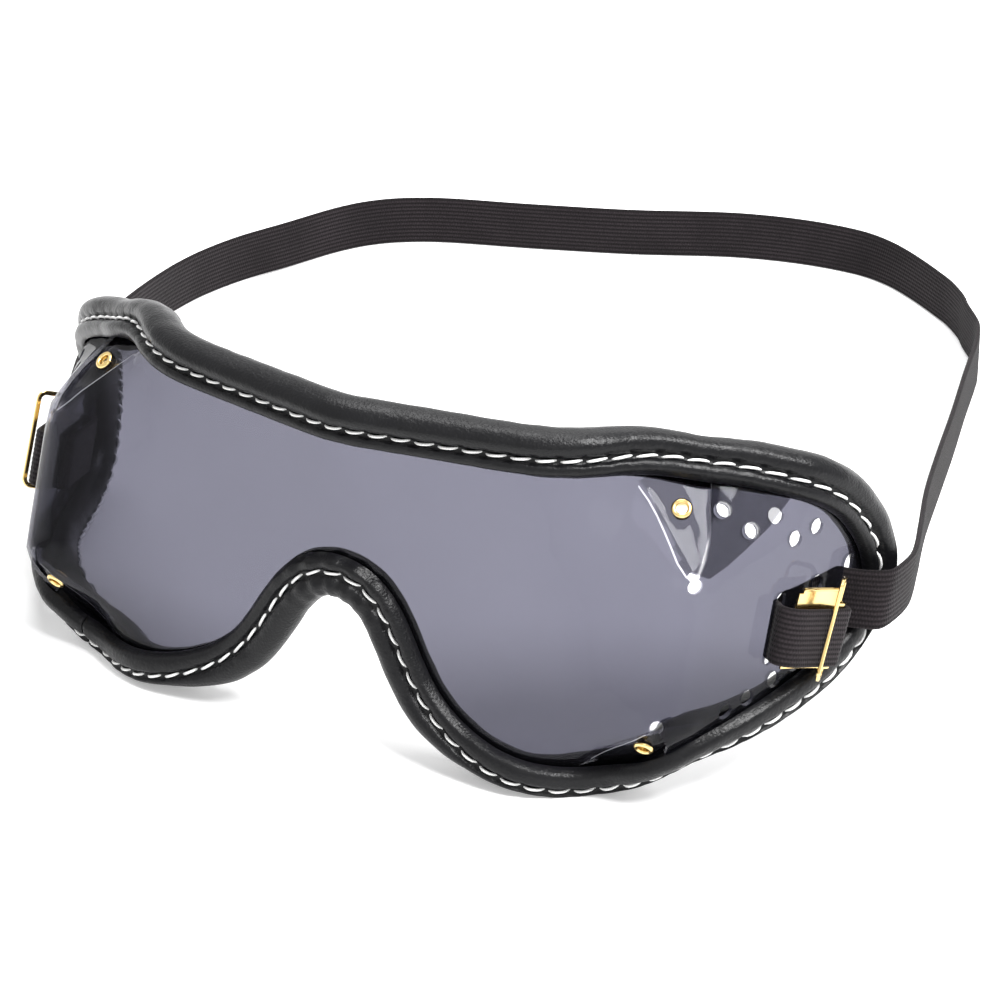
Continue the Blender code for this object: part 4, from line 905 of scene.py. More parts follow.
def leather_material(settings):
    """Black leather with a fine closed grain, duller in the furrows."""
    dull = {"Specular IOR Level": 0.20}
    material, tree, shader = plain_material("black_leather", settings.leather, 0.34, dull)
    scale = 1.0 / settings.grain
    values = {"Vector": place_on(tree), "Scale": scale, "Randomness": 0.9}
    cells = node(tree, "ShaderNodeTexVoronoi", values, feature="SMOOTH_F1").outputs["Distance"]
    grain = maths(tree, "MULTIPLY", cells, speckle(tree, scale * 1.9, 4.0))
    folds = speckle(tree, scale / 7.0, 3.0)
    raised(tree, shader, maths(tree, "ADD", grain, folds), settings.grain * 0.30, 0.9)
    roughened(tree, shader, folds, 0.24, 0.38)
    shaded(tree, shader, speckle(tree, 140.0, 5.0), settings.leather, 0.5, 1.2)
    return material


def run_of(tree):
    """The distances along and across or round a piece that its attribute holds."""
    run = node(tree, "ShaderNodeAttribute", attribute_name="run").outputs["Vector"]
    return node(tree, "ShaderNodeSeparateXYZ", {0: run}).outputs[:2]


def striped(tree, value, spacing, shift=0.0):
    """Smooth 0 to 1 stripes across a distance."""
    turn = maths(tree, "ADD", maths(tree, "MULTIPLY", value, 2 * math.pi / spacing), shift)
    wave = {"Value": maths(tree, "SINE", turn), "From Min": -1.0, "From Max": 1.0}
    return node(tree, "ShaderNodeMapRange", wave).outputs[0]


def thread_material(settings):
    """White twisted sewing thread."""
    material, tree, shader = plain_material("sewing_thread", settings.thread, 0.62, {"Sheen Weight": 0.25})
    along, around = run_of(tree)
    strands = striped(tree, along, 0.00055, around)
    raised(tree, shader, strands, 0.00005, 0.5)
    # colour follows the twist: darker in the grooves between strands as painted shade, and uneven at random
    groove_shade_and_unevenness = maths(tree, "MULTIPLY", strands, speckle(tree, 420.0, 4.0))
    shaded(tree, shader, groove_shade_and_unevenness, settings.thread, 0.90, 1.08)
    return material


def elastic_material(settings):
    """Woven elastic: ribs run along it, and the weft crosses them in fine steps."""
    dull = {"Sheen Weight": 0.05, "Sheen Roughness": 0.5, "Specular IOR Level": 0.10}
    material, tree, shader = plain_material("woven_elastic", settings.elastic, 0.82, dull)
    along, across = run_of(tree)
    rib = STRAP_WIDTH / settings.ribs
    number = maths(tree, "FLOOR", maths(tree, "MULTIPLY", across, 1.0 / rib))
    weft = striped(tree, along, 0.00062, maths(tree, "MULTIPLY", number, math.pi))
    lint = speckle(tree, 2600.0, 3.0)
    raised(tree, shader, maths(tree, "ADD", weft, lint), 0.00010, 0.8)
    light = lint
    for value in (striped(tree, across, rib), speckle(tree, 70.0, 3.0), 3.4):
        light = maths(tree, "MULTIPLY", light, value)
    shaded(tree, shader, light, settings.elastic, 0.5, 2.1)
    return material


def brass_material(settings):
    """Polished brass with fine rubbed lines and a little tarnish."""
    metal = {"Metallic": 1.0}
    material, tree, shader = plain_material("polished_brass", settings.brass, settings.polish, metal)
    stretched = node(tree, "ShaderNodeMapping", {"Vector": place_on(tree), "Scale": (1.0, 1.0, 0.12)})
    rubbed = speckle(tree, 5200.0, 2.0, stretched.outputs[0])
    tarnish = speckle(tree, 520.0, 4.0)
    rough = maths(tree, "MULTIPLY", rubbed, tarnish)
    roughened(tree, shader, rough, settings.polish * 0.7, settings.polish * 2.2)
    raised(tree, shader, rubbed, 0.000012, 0.5)
    shaded(tree, shader, tarnish, settings.brass, 0.86, 1.08)
    return material


def floor_material(settings):
    """Pale floor that shows white to the camera, in mirrors and through the sheet, and keeps shadows."""
    material, tree, shader = plain_material("pale_floor", settings.floor, 0.9)
    shaded(tree, shader, speckle(tree, 300.0, 2.0), settings.floor, 0.99, 1.01)
    lift = maths(tree, "MULTIPLY", seen_rays(tree), FLOOR_GLOW)
    glow = node(tree, "ShaderNodeEmission", {"Color": WHITE, "Strength": lift})
    shown(tree, node(tree, "ShaderNodeAddShader", {0: shader.outputs[0], 1: glow.outputs[0]}))
    return material


def seen_rays(tree):
    """1 for a ray of the camera, of a mirror or through glass, and 0 for others."""
    rays = node(tree, "ShaderNodeLightPath").outputs
    seen = maths(tree, "MAXIMUM", rays["Is Camera Ray"], rays["Is Glossy Ray"])
    return maths(tree, "MAXIMUM", seen, rays["Is Transmission Ray"])


# ---------------------------------------------------------------- modelling

def loft(bm, rings, values=None, joined=False):
    """Lay a grid over rings of points as a tube, closed at both ends or on itself."""
    layer = bm.verts.layers.float_vector.get("run")
    columns = len(rings[0])
    rows = len(rings) if joined else len(rings) - 1
    made = bmesh.ops.create_grid(bm, x_segments=columns, y_segments=rows, size=1.0)["verts"]
    borders = []
    for vert in made:
        column = round((vert.co.x + 1) / 2 * columns)
        row = round((vert.co.y + 1) / 2 * rows)
        if column in (0, columns) or joined and row in (0, rows):
            borders.append(vert)
        vert.co = rings[row % len(rings)][column % columns]
        if values is not None:
            vert[layer] = values[row][column % columns]
    bmesh.ops.remove_doubles(bm, verts=borders, dist=NUMERIC_STEP / 100)
    if not joined:
        rims = [edge for edge in bm.edges if edge.is_boundary]
        bmesh.ops.holes_fill(bm, edges=rims, sides=0)


def new_shape():
    """Empty mesh whose points can hold how far along and across a piece they lie."""
    bm = bmesh.new()
    bm.verts.layers.float_vector.new("run")
    return bm


def add_piece(name, bm, materials, body, nodes, sharp_deg, shift=ORIGIN, outward=True):
    """Make a piece of the finished mesh, in place of nodes of the part."""
    bmesh.ops.translate(bm, verts=bm.verts, vec=shift)
    if outward:
        bmesh.ops.recalc_face_normals(bm, faces=bm.faces)
    mesh = bpy.data.meshes.new(name)
    bm.to_mesh(mesh)
    bm.free()
    for material in materials:
        mesh.materials.append(material)
    for polygon in mesh.polygons:
        polygon.use_smooth = True
    mesh.set_sharp_from_angle(angle=math.radians(sharp_deg))
    piece = bpy.data.objects.new(name, mesh)
    bpy.context.scene.collection.objects.link(piece)
    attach(piece, body)
    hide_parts(*nodes)
    return piece


class TrimRow:
    """One station of the trim: its place on the lens edge, its two directions and its shares."""

    def __init__(self, values):
        self.place = Vector(values[0:3])
        self.run = Vector(values[3:6]).normalized()
        out = Vector(values[6:9])
        self.out = (out - self.run * out.dot(self.run)).normalized()
        self.cheek = min(1.0, max(0.0, values[9]))
        self.room = min(1.0, max(0.0, values[10]))
        self.chain = spline(outer_outline(self.cheek), False, SECTION_STEPS)

    def point(self, q, r):
        return self.place + self.run * q + self.out * r


def trim_rows():
    """Stations once round the lens edge, from one side of the seam to the other."""
    stations, names = make_stations()
    coarse = []
    for index, (place, run, out, cheek) in enumerate(station_frames(stations)):
        coarse.append((*place, *run, *out, cheek, room_share(index, stations, names)))
    dense = spline(coarse, True, TRIM_STEPS)
    seam = (len(stations) - round(SEAM_SHARE * names["end"])) * TRIM_STEPS
    rows = [TrimRow(values) for values in dense[seam:] + dense[:seam + 1]]
    ahead = (rows[1].place - rows[0].place).normalized() * (SEAM_GAP / 2)
    rows[0].place = rows[0].place + ahead
    rows[-1].place = rows[-1].place - ahead
    return rows


def chain_place(chain, line):
    """Height of the leather at a distance from the lens edge."""
    for first, second in zip(chain, chain[1:]):
        low, high = sorted((first[0], second[0]))
        if low <= line <= high and high > low:
            share = (line - first[0]) / (second[0] - first[0])
            return blended(first[1], second[1], share)
    raise ValueError("the stitching runs off the leather")


class Seam:
    """A row of needle holes along one face of the trim."""

    def __init__(self, rows, shares, front):
        self.lines = [blended(*shares, row.cheek) * TRIM_WIDTH for row in rows]
        self.places = []
        self.ups = []
        for row, line in zip(rows, self.lines):
            chain = row.chain[:TRIM_PEAK + 1] if front else row.chain[TRIM_PEAK:]
            drop = 0.0 if front else FLAP_DROP * row.room
            self.places.append(row.point(line, chain_place(chain, line) - drop))
            self.ups.append(row.out if front else -row.out)
        self.travel = [0.0]
        for first, second in zip(self.places, self.places[1:]):
            self.travel.append(self.travel[-1] + (second - first).length)
        self.total = self.travel[-1]

    def at(self, travel):
        """Place, outward direction and direction along at a distance along the seam."""
        low, high = 0, len(self.travel) - 1
        while high - low > 1:
            middle = (low + high) // 2
            if self.travel[middle] <= travel:
                low = middle
            else:
                high = middle
        share = (travel - self.travel[low]) / (self.travel[high] - self.travel[low])
        place = self.places[low].lerp(self.places[high], share)
        up = self.ups[low].lerp(self.ups[high], share).normalized()
        along = (self.places[high] - self.places[low]).normalized()
        return place, up, along


def gathers(rows):
    """How deep the leather puckers at each station: most where its outer edge is shorter than its seam."""
    depths = []
    peak = TRIM_PEAK - SECTION_STEPS
    for index in range(len(rows)):
        first = rows[max(index - GATHER_SPAN, 0)]
        second = rows[min(index + GATHER_SPAN, len(rows) - 1)]
        seam, edge = (
            (first.point(*first.chain[spot]) - second.point(*second.chain[spot])).length
            for spot in (peak // 2, peak)
        )
        depths.append(min(GATHER_LIMIT, GATHER_DEPTH * max(0.0, 1.0 - GATHER_START - edge / seam)))
    return depths


def leather_relief(q, work, number, gather, place):
    """How far the leather stands out of its plain section at a point."""
    seam = work.seam
    line = seam.lines[number]
    turns = work.counts[number]
    hole = abs(turns - round(turns)) * seam.total / work.count
    near = math.exp(-((q - line) / PULL_WIDTH) ** 2)
    relief = -HOLE_DEPTH * near * math.exp(-(hole / HOLE_RADIUS) ** 2)
    away = abs(q - line)
    fade = (away / PULL_WIDTH) ** 2 * math.exp(-(away / PUCKER_REACH) ** 2)
    relief -= gather * min(1.0, fade) * (0.5 + 0.5 * math.cos(2 * math.pi * turns))
    relief += HAND_UNEVENNESS * noise.noise(place * HAND_SCALE)
    ends = min(seam.travel[number], seam.total - seam.travel[number])
    return relief - SEAM_DEPTH * math.exp(-(ends / SEAM_WIDTH) ** 2)


def trim_ring(rows, number, works, gather):
    """Closed section of the trim round the lens edge at one station."""
    row = rows[number]
    back = -(LENS_THICKNESS + CLEARANCE)
    grip = blended(LENS_GRIP, CHEEK_LENS_GRIP, row.cheek) + CLEARANCE
    chain = row.chain
    places = []
    for index, (q, r) in enumerate(chain):
        before, after = chain[max(index - 1, 0)], chain[min(index + 1, len(chain) - 1)]
        lean = Vector((before[1] - after[1], after[0] - before[0])).normalized()
        work = works[0] if index < TRIM_PEAK else works[1]
        drop = FLAP_DROP * row.room if r < back else 0.0
        place = row.point(q, r - drop)
        depth = gather if index < TRIM_PEAK else 0.0
        relief = leather_relief(q, work, number, depth, place)
        places.append(place + (row.run * lean.x + row.out * lean.y) * relief)
    back -= FLAP_DROP * row.room
    across = (0.0, grip / 2, grip)
    slot = [(q, back) for q in across] + [(q, CLEARANCE) for q in reversed(across)]
    return places + [row.point(q, r) for q, r in slot]


def stitch(bm, seam, start, length):
    """One stitch, crowned in the middle and sunk into the leather at both ends."""
    rings, values = [], []
    for step in range(STITCH_RINGS):
        share = step / (STITCH_RINGS - 1)
        place, up, along = seam.at(start + length * share)
        side = up.cross(along).normalized()
        lift = STITCH_CROWN - (STITCH_CROWN + STITCH_SINK) * abs(2 * share - 1) ** STITCH_CROWN_POWER
        middle = place + up * lift + side * (STITCH_SLANT * (share - 0.5))
        ring, value = [], []
        radius = STITCH_RADIUS * (1.0 - STITCH_END_TAPER * (2 * share - 1) ** 4)
        for number in range(STITCH_SIDES):
            angle = 2 * math.pi * number / STITCH_SIDES
            ring.append(middle + (side * math.sin(angle) - up * math.cos(angle)) * radius)
            value.append(Vector((start + length * share, angle, 0.0)))
        rings.append(ring)
        values.append(value)
    loft(bm, rings, values)


class Needlework:
    """Needle holes along a seam, closer together on the wearer's right side than on the left."""

    def __init__(self, seam, pitch):
        self.count = round(seam.total / pitch)
        reach = max(abs(place.x) for place in seam.places)
        counts = [0.0]
        for index in range(1, len(seam.travel)):
            step = seam.travel[index] - seam.travel[index - 1]
            counts.append(counts[-1] + step / (1.0 + PITCH_SWING * seam.places[index].x / reach))
        self.counts = [self.count * value / counts[-1] for value in counts]
        self.seam = seam

    def hole(self, number):
        """Distance along the seam of one needle hole."""
        for index in range(1, len(self.counts)):
            if self.counts[index] >= number - NUMERIC_STEP:
                low, high = self.counts[index - 1], self.counts[index]
                share = (number - low) / (high - low)
                return blended(self.seam.travel[index - 1], self.seam.travel[index], share)
        raise ValueError("the seam has no such hole")


def unfolded(edge):
    """If two faces meet at an edge without a fold or a corner."""
    return edge.is_manifold and edge.calc_face_angle(0.0) < math.radians(FOLD_DEG)


def lens_shape():
    """Merged copy of the lens, its cut edges, hole rims and flaps marked for their own finish."""
    bm = bmesh.new()
    bm.from_mesh(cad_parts["lens"].data)
    bmesh.ops.remove_doubles(bm, verts=bm.verts, dist=NUMERIC_STEP / 10)
    left = set(bm.faces)
    while left:
        region, front = [], [left.pop()]
        while front:
            face = front.pop()
            region.append(face)
            for edge in face.edges:
                for other in edge.link_faces:
                    if other in left and unfolded(edge):
                        left.remove(other)
                        front.append(other)
        members = set(region)
        edges = {edge for face in region for edge in face.edges}
        inner = [edge for edge in edges if all(face in members for face in edge.link_faces)]
        rim = sum(edge.calc_length() for edge in edges) - sum(edge.calc_length() for edge in inner)
        area = sum(face.calc_area() for face in region)
        if area < RIM_SHARE * rim:
            hole = len(inner) == len(region) and rim < HOLE_RIM_LIMIT
            for face in region:
                face.material_index = HOLE_RIM if hole else CUT_EDGE
    paint_flaps(bm)
    return bm


def part_point(side, travel, height):
    """Place of a flat spot of one side in the part's own frame."""
    return sheet_point(side * travel, height) + ORIGIN


def dart_samples(dart, side):
    """Search tree over the outer face of the sheet round a dart, and the flat spot of each sample."""
    tip, crease = dart[:2]
    spots = []
    reach = dart[3][0][0] - crease[0]
    columns = round(reach / FLAP_SAMPLE)
    rows = round(abs(crease[1] - tip[1]) / FLAP_SAMPLE)
    for row in range(rows + 1):
        for column in range(columns + 1):
            travel = crease[0] + reach * column / columns
            spots.append((travel, blended(tip[1], crease[1], row / rows)))
    tree = kdtree.KDTree(len(spots))
    for index, spot in enumerate(spots):
        tree.insert(part_point(side, *spot), index)
    tree.balance()
    return tree, spots


def flap_faces(bm, dart, side):
    """Faces of one dart flap, found from its open part and followed under the wing."""
    tree, spots = dart_samples(dart, side)
    open_part, beyond = [], set()
    for face in bm.faces:
        index, away = tree.find(face.calc_center_median())[1:]
        if face.material_index or away > FLAP_SEARCH:
            continue
        span = dart_span(spots[index][1])
        size = spots[index][0]
        if span is None or size < span[0] + FLAP_SAMPLE:
            continue
        beyond.add(face)
        if size < span[1] - 2 * FLAP_SAMPLE:
            open_part.append(face)
    flap_set = set(open_part)
    while open_part:
        for edge in open_part.pop().edges:
            for other in edge.link_faces:
                if other in beyond and other not in flap_set and unfolded(edge):
                    flap_set.add(other)
                    open_part.append(other)
    return flap_set


def paint_flaps(bm):
    """Give the dart flaps their own finish: dark in the dart, clearer where they pass behind the wing."""
    for side in (1, -1):
        for dart in DARTS.values():
            tip, crease, slit = dart[:3]
            faces = flap_faces(bm, dart, side)
            for face in faces:
                face.material_index = TUCKED_FLAP
            middle = blended(tip, slit, 0.5)
            start = part_point(side, *tip)
            along = part_point(side, *middle) - start
            across = along.cross(sheet_axes(side * middle[0], middle[1])[2]).normalized()
            if across.dot(part_point(side, *crease) - start) < 0:
                across = -across
            edges = {edge for face in faces for edge in face.edges}
            verts = {vert for face in faces for vert in face.verts}
            cut = bmesh.ops.bisect_plane(
                bm, geom=[*faces, *edges, *verts], plane_co=start, plane_no=across, dist=NUMERIC_STEP,
            )
            for item in cut["geom"]:
                if isinstance(item, bmesh.types.BMFace):
                    if across.dot(item.calc_center_median() - start) > 0:
                        item.material_index = DART_FLAP


def crease_points(tip, top, side):
    """Points along a dart's crease on the wrapped sheet."""
    return [part_point(side, *blended(tip, top, step / CREASE_STEPS)) for step in range(CREASE_STEPS + 1)]


def soften_creases(bm):
    """Round the fold lines of the darts a little and give them a pale finish: partly the whitening of a
    stressed crease, partly a painted highlight along the fold.
    """
    lines = []
    for side in (1, -1):
        for dart in DARTS.values():
            lines += crease_points(*dart[:2], side)
    creases = []
    for edge in bm.edges:
        if not edge.is_manifold or edge.calc_face_angle(0.0) < math.radians(LEAST_CREASE_DEG):
            continue
        if any(face.material_index in (CUT_EDGE, HOLE_RIM) for face in edge.link_faces):
            continue
        if all(min((vert.co - point).length for point in lines) < CREASE_REACH for vert in edge.verts):
            creases.append(edge)
    made = bmesh.ops.bevel(
        bm, geom=creases, offset=CREASE_WIDTH, segments=CREASE_SEGMENTS, profile=0.5, affect="EDGES",
        material=-1,
    )
    for face in made["faces"]:
        face.material_index = CREASE


def eyelet_shape(spot, side):
    """Rolled eyelet: its profile is spun, then set square on its seat."""
    outer_face, axis = eyelet_seat(spot, side)
    bm = new_shape()
    flange = EYELET_FLANGE_THICKNESS
    top = CLEARANCE
    back = -(LENS_THICKNESS + CLEARANCE)
    width = EYELET_FLANGE_RADIUS - EYELET_BORE_RADIUS
    rear = EYELET_ROLL_RADIUS - EYELET_BORE_RADIUS
    points = [(EYELET_BORE_RADIUS + width * a, top + flange * FLANGE_RISE * b) for a, b in FLANGE_SHARES]
    points += [(EYELET_BARREL_RADIUS, top), (EYELET_BARREL_RADIUS, back)]
    points += [(EYELET_BORE_RADIUS + rear * a, back - flange * b) for a, b in reversed(FLANGE_SHARES)]
    verts = [bm.verts.new((radius, 0.0, level)) for radius, level in points]
    edges = [bm.edges.new(pair) for pair in zip(verts, verts[1:] + verts[:1])]
    bmesh.ops.spin(
        bm, geom=verts + edges, cent=(0, 0, 0), axis=(0, 0, 1), angle=2 * math.pi, steps=EYELET_SIDES,
        use_merge=True,
    )
    turn = axis.to_track_quat("Z", "Y").to_matrix()
    bmesh.ops.rotate(bm, verts=bm.verts, cent=(0, 0, 0), matrix=turn)
    bmesh.ops.translate(bm, verts=bm.verts, vec=outer_face)
    return bm


def strap_ring(stop, settings, travel):
    """Section of the band: ribs on both faces and round edges."""
    middle, low, high, side = stop
    steps = settings.ribs * 4
    across = [index / steps for index in range(steps + 1)]
    places, values = [], []
    for face, shares in ((1, across), (-1, across[::-1])):
        for share in shares:
            edge = min(share, 1.0 - share) * STRAP_WIDTH / STRAP_THICKNESS * STRAP_EDGE_REACH
            arch = math.sqrt(max(0.0, 1.0 - (1.0 - min(1.0, edge)) ** 2))
            swell = arch * STRAP_EDGE_SWELL + STRAP_EDGE_SHARE
            furrow = settings.rib_depth * (0.5 + 0.5 * math.cos(2 * math.pi * share * settings.ribs))
            thick = swell - furrow / (STRAP_THICKNESS / 2)
            places.append(middle + low + (high - low) * share + side * (face * max(STRAP_LEAST_SHARE, thick)))
            values.append(Vector((travel, share * STRAP_WIDTH, face)))
    return places, values


def strap_shape(settings):
    """Band through all its stops, from one free tail to the other."""
    bm = new_shape()
    rows = [tuple(c for part in stop for c in part) for stop in strap_stops(-ORIGIN.z)]
    rows = spline(rows, False, STRAP_STEPS)
    rings, values = [], []
    travel = 0.0
    before = None
    for row in rows:
        stop = [Vector(row[start:start + 3]) for start in (0, 3, 6, 9)]
        stop[3] = stop[3].normalized() * (STRAP_THICKNESS / 2)
        if before is not None:
            travel += (stop[0] - before).length
        before = stop[0]
        ring, value = strap_ring(stop, settings, travel)
        rings.append(ring)
        values.append(value)
    loft(bm, rings, values)
    return bm


def flat_ring(middle, low, high, side, bevel):
    """Flat section with its four edges eased."""
    wide = (high - low).normalized() * bevel
    thin = side.normalized() * bevel
    return [
        middle + low + wide - side, middle + high - wide - side,
        middle + high - side + thin, middle + high + side - thin,
        middle + high - wide + side, middle + low + wide + side,
        middle + low + side - thin, middle + low - side + thin,
    ]


def barrel_axes(side):
    """Frame of the buckle's barrel: its middle, rearward, outward and up along the slot."""
    slot, rear, out, up = buckle_axes(side)
    return slot + rear * BUCKLE_REACH + out * BUCKLE_LIFT, rear, out, up


def tongue_shape(side):
    """Plate rolled round the buckle's bar, with a notched end and a rolled upper rim."""
    origin, rear, out, up = barrel_axes(side)
    up = tilted(rear, up, 1.0)
    line = tongue_line()
    plate = [
        (line[0][0], 0.0, TONGUE_ABOVE - TONGUE_NOTCH),
        (line[0][0] + TONGUE_NOTCH, 0.0, TONGUE_ABOVE - TONGUE_NOTCH),
        (line[0][0] + TONGUE_NOTCH * (1 + TONGUE_STEP_WIDTH), 0.0, TONGUE_ABOVE),
        (*line[1], TONGUE_ABOVE),
        (*line[2], TONGUE_ABOVE),
        (*line[3], TONGUE_ABOVE),
        (line[3][0] * (1 - TONGUE_STEP_WIDTH), line[3][1], BARREL_ABOVE),
    ]
    rolled = spline([(a, b, BARREL_ABOVE) for a, b in line[3:]], False, TONGUE_ROLL_STEPS)
    points = plate + [tuple(point) for point in rolled[1:]]
    bm = new_shape()
    rings = []
    for index, (a, b, tall) in enumerate(points):
        before = Vector(points[max(index - 1, 0)][:2])
        after = Vector(points[min(index + 1, len(points) - 1)][:2])
        travel = (after - before).normalized()
        across = (rear * -travel.y + out * travel.x) * (TONGUE_THICKNESS / 2)
        middle = origin + rear * a + out * b
        rings.append(flat_ring(middle, -up * TONGUE_BELOW, up * tall, across, SHEET_BEVEL))
    loft(bm, rings)
    rim = []
    path = spline([(line[0][0] + TONGUE_NOTCH, 0.0)] + line[1:4], False, TONGUE_RIM_STEPS)
    for step, (a, b) in enumerate(path):
        end = 1.0 if 0 < step < len(path) - 1 else TONGUE_RIM_END
        seat = b + TONGUE_RIM_RADIUS * TONGUE_RIM_SEAT
        middle = origin + rear * a + out * seat + up * (TONGUE_ABOVE - TONGUE_RIM_RADIUS)
        ring = []
        for number in range(TONGUE_RIM_SIDES):
            angle = 2 * math.pi * number / TONGUE_RIM_SIDES
            ring.append(middle + (out * math.cos(angle) + up * math.sin(angle)) * TONGUE_RIM_RADIUS * end)
        rim.append(ring)
    loft(bm, rim)
    return bm


def frame_shape(side):
    """Flat-wire rectangle with eased edges, its inner bar on the barrel's axis."""
    origin, rear, out, up = barrel_axes(side)
    rear = tilted(-up, rear, 1.0)
    up = out.cross(rear) * (1 if out.cross(rear).dot(up) > 0 else -1)
    angle = math.radians(FRAME_REST_DEG if side > 0 else RIGHT_FRAME_REST_DEG)
    reach = -rear * math.cos(angle) + out * math.sin(angle)
    plane = reach.cross(up).normalized() * (FRAME_THICKNESS / 2)
    half = FRAME_LENGTH / 2 - FRAME_STOCK / 2 - FRAME_CORNER_RADIUS
    far = FRAME_REACH - FRAME_CORNER_RADIUS
    near = FRAME_CORNER_RADIUS
    corners = ((far, half, 0.0), (near, half, 90.0), (near, -half, 180.0), (far, -half, 270.0))
    rings = []
    for across, rise, start in corners:
        for step in range(FRAME_CORNER_STEPS + 1):
            turn = math.radians(start + 90.0 * step / FRAME_CORNER_STEPS)
            direction = reach * math.cos(turn) + up * math.sin(turn)
            middle = origin + reach * across + up * (FRAME_RISE + rise) + direction * FRAME_CORNER_RADIUS
            wide = direction * (FRAME_STOCK / 2)
            rings.append(flat_ring(middle, -wide, wide, plane, WIRE_BEVEL))
    bm = new_shape()
    loft(bm, rings, joined=True)
    return bm


def keep_over_ground(bm):
    """Flatten what would sink under the rest plane."""
    for vert in bm.verts:
        vert.co.z = max(vert.co.z, -ORIGIN.z)


# ---------------------------------------------------------------- operators

class GOGGLES_OT_lens(bpy.types.Operator):
    """Make the smoke sheet with its cut edges and creases"""

    bl_idname = "goggles.lens"
    bl_label = "Lens"

    def execute(self, context):
        settings = context.scene.goggles_lens
        bm = lens_shape()
        soften_creases(bm)
        materials = [
            smoke_material(settings, "smoke_sheet", settings.tint),
            # creases: stress whitening, and a painted highlight along each fold
            pale_highlight_edge_material("crease_whitening_and_highlight", CREASE_OPACITY),
            # cut edges: frosted, and pale as a painted highlight of the light they catch
            pale_highlight_edge_material("cut_edge_highlight", CUT_EDGE_OPACITY),
            shaded_hole_rim_material(),
            smoke_material(settings, "dart_flap", scaled(settings.tint, DART_SHADE)),
            smoke_material(settings, "tucked_flap", TUCKED_TINT),
        ]
        add_piece(
            "lens_sheet", bm, materials, "goggles", ["lens"], LENS_SHARP_DEG, Vector(), False,
        )
        return {"FINISHED"}


class GOGGLES_OT_trim(bpy.types.Operator):
    """Make the padded leather trim and the two rows of stitches"""

    bl_idname = "goggles.trim"
    bl_label = "Trim and stitching"

    def execute(self, context):
        settings = context.scene.goggles_trim
        rows = trim_rows()
        seams = (
            Seam(rows, (NEEDLE_LINE_SHARE, CHEEK_NEEDLE_LINE_SHARE), True),
            Seam(rows, (BOBBIN_LINE_SHARE, CHEEK_BOBBIN_LINE_SHARE), False),
        )
        works = [Needlework(seam, settings.pitch) for seam in seams]
        depths = gathers(rows)
        bm = new_shape()
        loft(bm, [trim_ring(rows, number, works, depths[number]) for number in range(len(rows))])
        keep_over_ground(bm)
        leather = leather_material(settings)
        nodes = ["leather_cover", "foam_core"]
        trim = add_piece("leather_trim", bm, [leather], "goggles", nodes, SEWN_SHARP_DEG)
        thread = thread_material(settings)
        for work, word in zip(works, ("needle", "bobbin")):
            bm = new_shape()
            for number in range(work.count):
                start, end = work.hole(number), work.hole(number + 1)
                stitch(bm, work.seam, start + settings.gap / 2, end - start - settings.gap)
            nodes = [word + "_thread"]
            add_piece(word + "_stitches", bm, [thread], "goggles", nodes, SEWN_SHARP_DEG)
        return {"FINISHED"}


class GOGGLES_OT_eyelets(bpy.types.Operator):
    """Make the four rolled brass eyelets in the dart flaps"""

    bl_idname = "goggles.eyelets"
    bl_label = "Eyelets"

    def execute(self, context):
        brass = brass_material(context.scene.goggles_brass)
        for side, word in SIDES:
            for level, spot in EYELETS.items():
                node_name = "eyelet_" + level + "_" + word
                add_piece(
                    "rolled_" + node_name, eyelet_shape(spot, side), [brass], "goggles", [node_name],
                    EYELET_SHARP_DEG,
                )
        return {"FINISHED"}


class GOGGLES_OT_strap(bpy.types.Operator):
    """Make the ribbed elastic band from one free tail round the head to the other"""

    bl_idname = "goggles.strap"
    bl_label = "Strap"

    def execute(self, context):
        settings = context.scene.goggles_strap
        bm = strap_shape(settings)
        keep_over_ground(bm)
        elastic = elastic_material(settings)
        add_piece("elastic_band", bm, [elastic], "goggles", ["strap"], STRAP_SHARP_DEG)
        return {"FINISHED"}


class GOGGLES_OT_buckles(bpy.types.Operator):
    """Make the two brass tongues and the two wire frames that hinge on them"""

    bl_idname = "goggles.buckles"
    bl_label = "Buckles"

    def execute(self, context):
        brass = brass_material(context.scene.goggles_brass)
        kinds = (("rolled_", "tongue_", tongue_shape), ("wire_", "frame_", frame_shape))
        for side, word in SIDES:
            for finish, kind, shape in kinds:
                body = kind + word
                nodes = ["buckle_" + body]
                add_piece(finish + body, shape(side), [brass], body, nodes, BUCKLE_SHARP_DEG)
        return {"FINISHED"}


def aimed(name, data, place, direction):
    """Put a lamp or the camera at a place, looking along a direction."""
    made = bpy.data.objects.new(name, data)
    made.location = place
    made.rotation_mode = "QUATERNION"
    made.rotation_quaternion = direction.to_track_quat("-Z", "Y")
    bpy.context.scene.collection.objects.link(made)
    return made


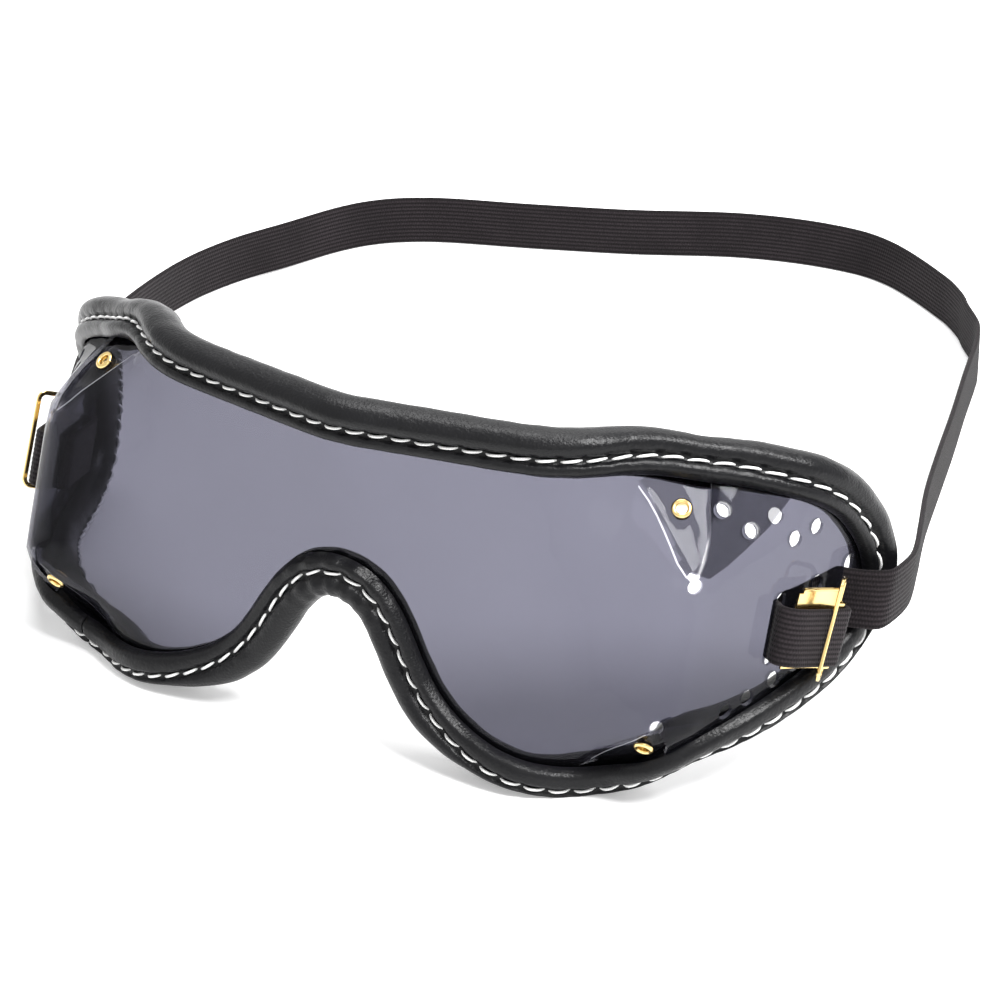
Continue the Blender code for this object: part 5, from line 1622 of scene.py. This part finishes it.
class GOGGLES_OT_stage(bpy.types.Operator):
    """Make the pale floor, the soft lights, the white surroundings and the camera"""

    bl_idname = "goggles.stage"
    bl_label = "Stage"

    def execute(self, context):
        settings = context.scene.goggles_stage
        scene = context.scene
        bm = bmesh.new()
        bmesh.ops.create_circle(bm, cap_ends=True, segments=FLOOR_SIDES, radius=FLOOR_RADIUS)
        mesh = bpy.data.meshes.new("floor")
        bm.to_mesh(mesh)
        bm.free()
        mesh.materials.append(floor_material(settings))
        floor = bpy.data.objects.new("floor", mesh)
        scene.collection.objects.link(floor)
        for name, place, size, share in LIGHTS:
            light = bpy.data.lights.new(name, "AREA")
            light.shape = "DISK"
            light.size = size
            light.energy = settings.key * share
            aimed(name, light, place, VIEW_TARGET - Vector(place))
        world = bpy.data.worlds.new("white_surroundings")
        world.use_nodes = True
        tree = world.node_tree
        level = ranged(tree, seen_rays(tree), settings.daylight, 1.0)
        backdrop = tree.nodes["Background"]
        backdrop.inputs["Color"].default_value = WHITE
        tree.links.new(level, backdrop.inputs["Strength"])
        scene.world = world
        scene.view_settings.view_transform = "Standard"
        camera = bpy.data.cameras.new("camera")
        camera.lens = VIEW_LENS_MM
        camera.sensor_width = VIEW_SENSOR_MM
        azimuth = math.radians(VIEW_AZIMUTH_DEG)
        elevation = math.radians(VIEW_ELEVATION_DEG)
        back = Vector((
            math.sin(azimuth) * math.cos(elevation),
            -math.cos(azimuth) * math.cos(elevation),
            math.sin(elevation),
        ))
        scene.camera = aimed("camera", camera, VIEW_TARGET + back * VIEW_DISTANCE, -back)
        return {"FINISHED"}


class GOGGLES_PT_panel(bpy.types.Panel):
    """One box for each step, with its button and its settings"""

    bl_idname = "GOGGLES_PT_panel"
    bl_label = "Riding goggles"
    bl_space_type = "VIEW_3D"
    bl_region_type = "UI"
    bl_category = "Goggles"

    def draw(self, context):
        for operator, group in STEPS:
            box = self.layout.box()
            box.operator(operator.bl_idname)
            settings = getattr(context.scene, group)
            for name in settings.bl_rna.properties.keys():
                if name not in {"rna_type", "name"}:
                    box.prop(settings, name)


GROUPS = {
    "goggles_lens": GogglesLens,
    "goggles_trim": GogglesTrim,
    "goggles_strap": GogglesStrap,
    "goggles_brass": GogglesBrass,
    "goggles_stage": GogglesStage,
}
STEPS = (
    (GOGGLES_OT_lens, "goggles_lens"),
    (GOGGLES_OT_trim, "goggles_trim"),
    (GOGGLES_OT_eyelets, "goggles_brass"),
    (GOGGLES_OT_strap, "goggles_strap"),
    (GOGGLES_OT_buckles, "goggles_brass"),
    (GOGGLES_OT_stage, "goggles_stage"),
)
CLASSES = (*GROUPS.values(), *(operator for operator, group in STEPS), GOGGLES_PT_panel)


def register():
    for item in CLASSES:
        bpy.utils.register_class(item)
    for name, group in GROUPS.items():
        setattr(bpy.types.Scene, name, PointerProperty(type=group))


def unregister():
    for name in GROUPS:
        delattr(bpy.types.Scene, name)
    for item in reversed(CLASSES):
        bpy.utils.unregister_class(item)


def main():
    register()
    bpy.ops.goggles.lens()
    bpy.ops.goggles.trim()
    bpy.ops.goggles.eyelets()
    bpy.ops.goggles.strap()
    bpy.ops.goggles.buckles()
    bpy.ops.goggles.stage()


if __name__ == "__main__":
    main()
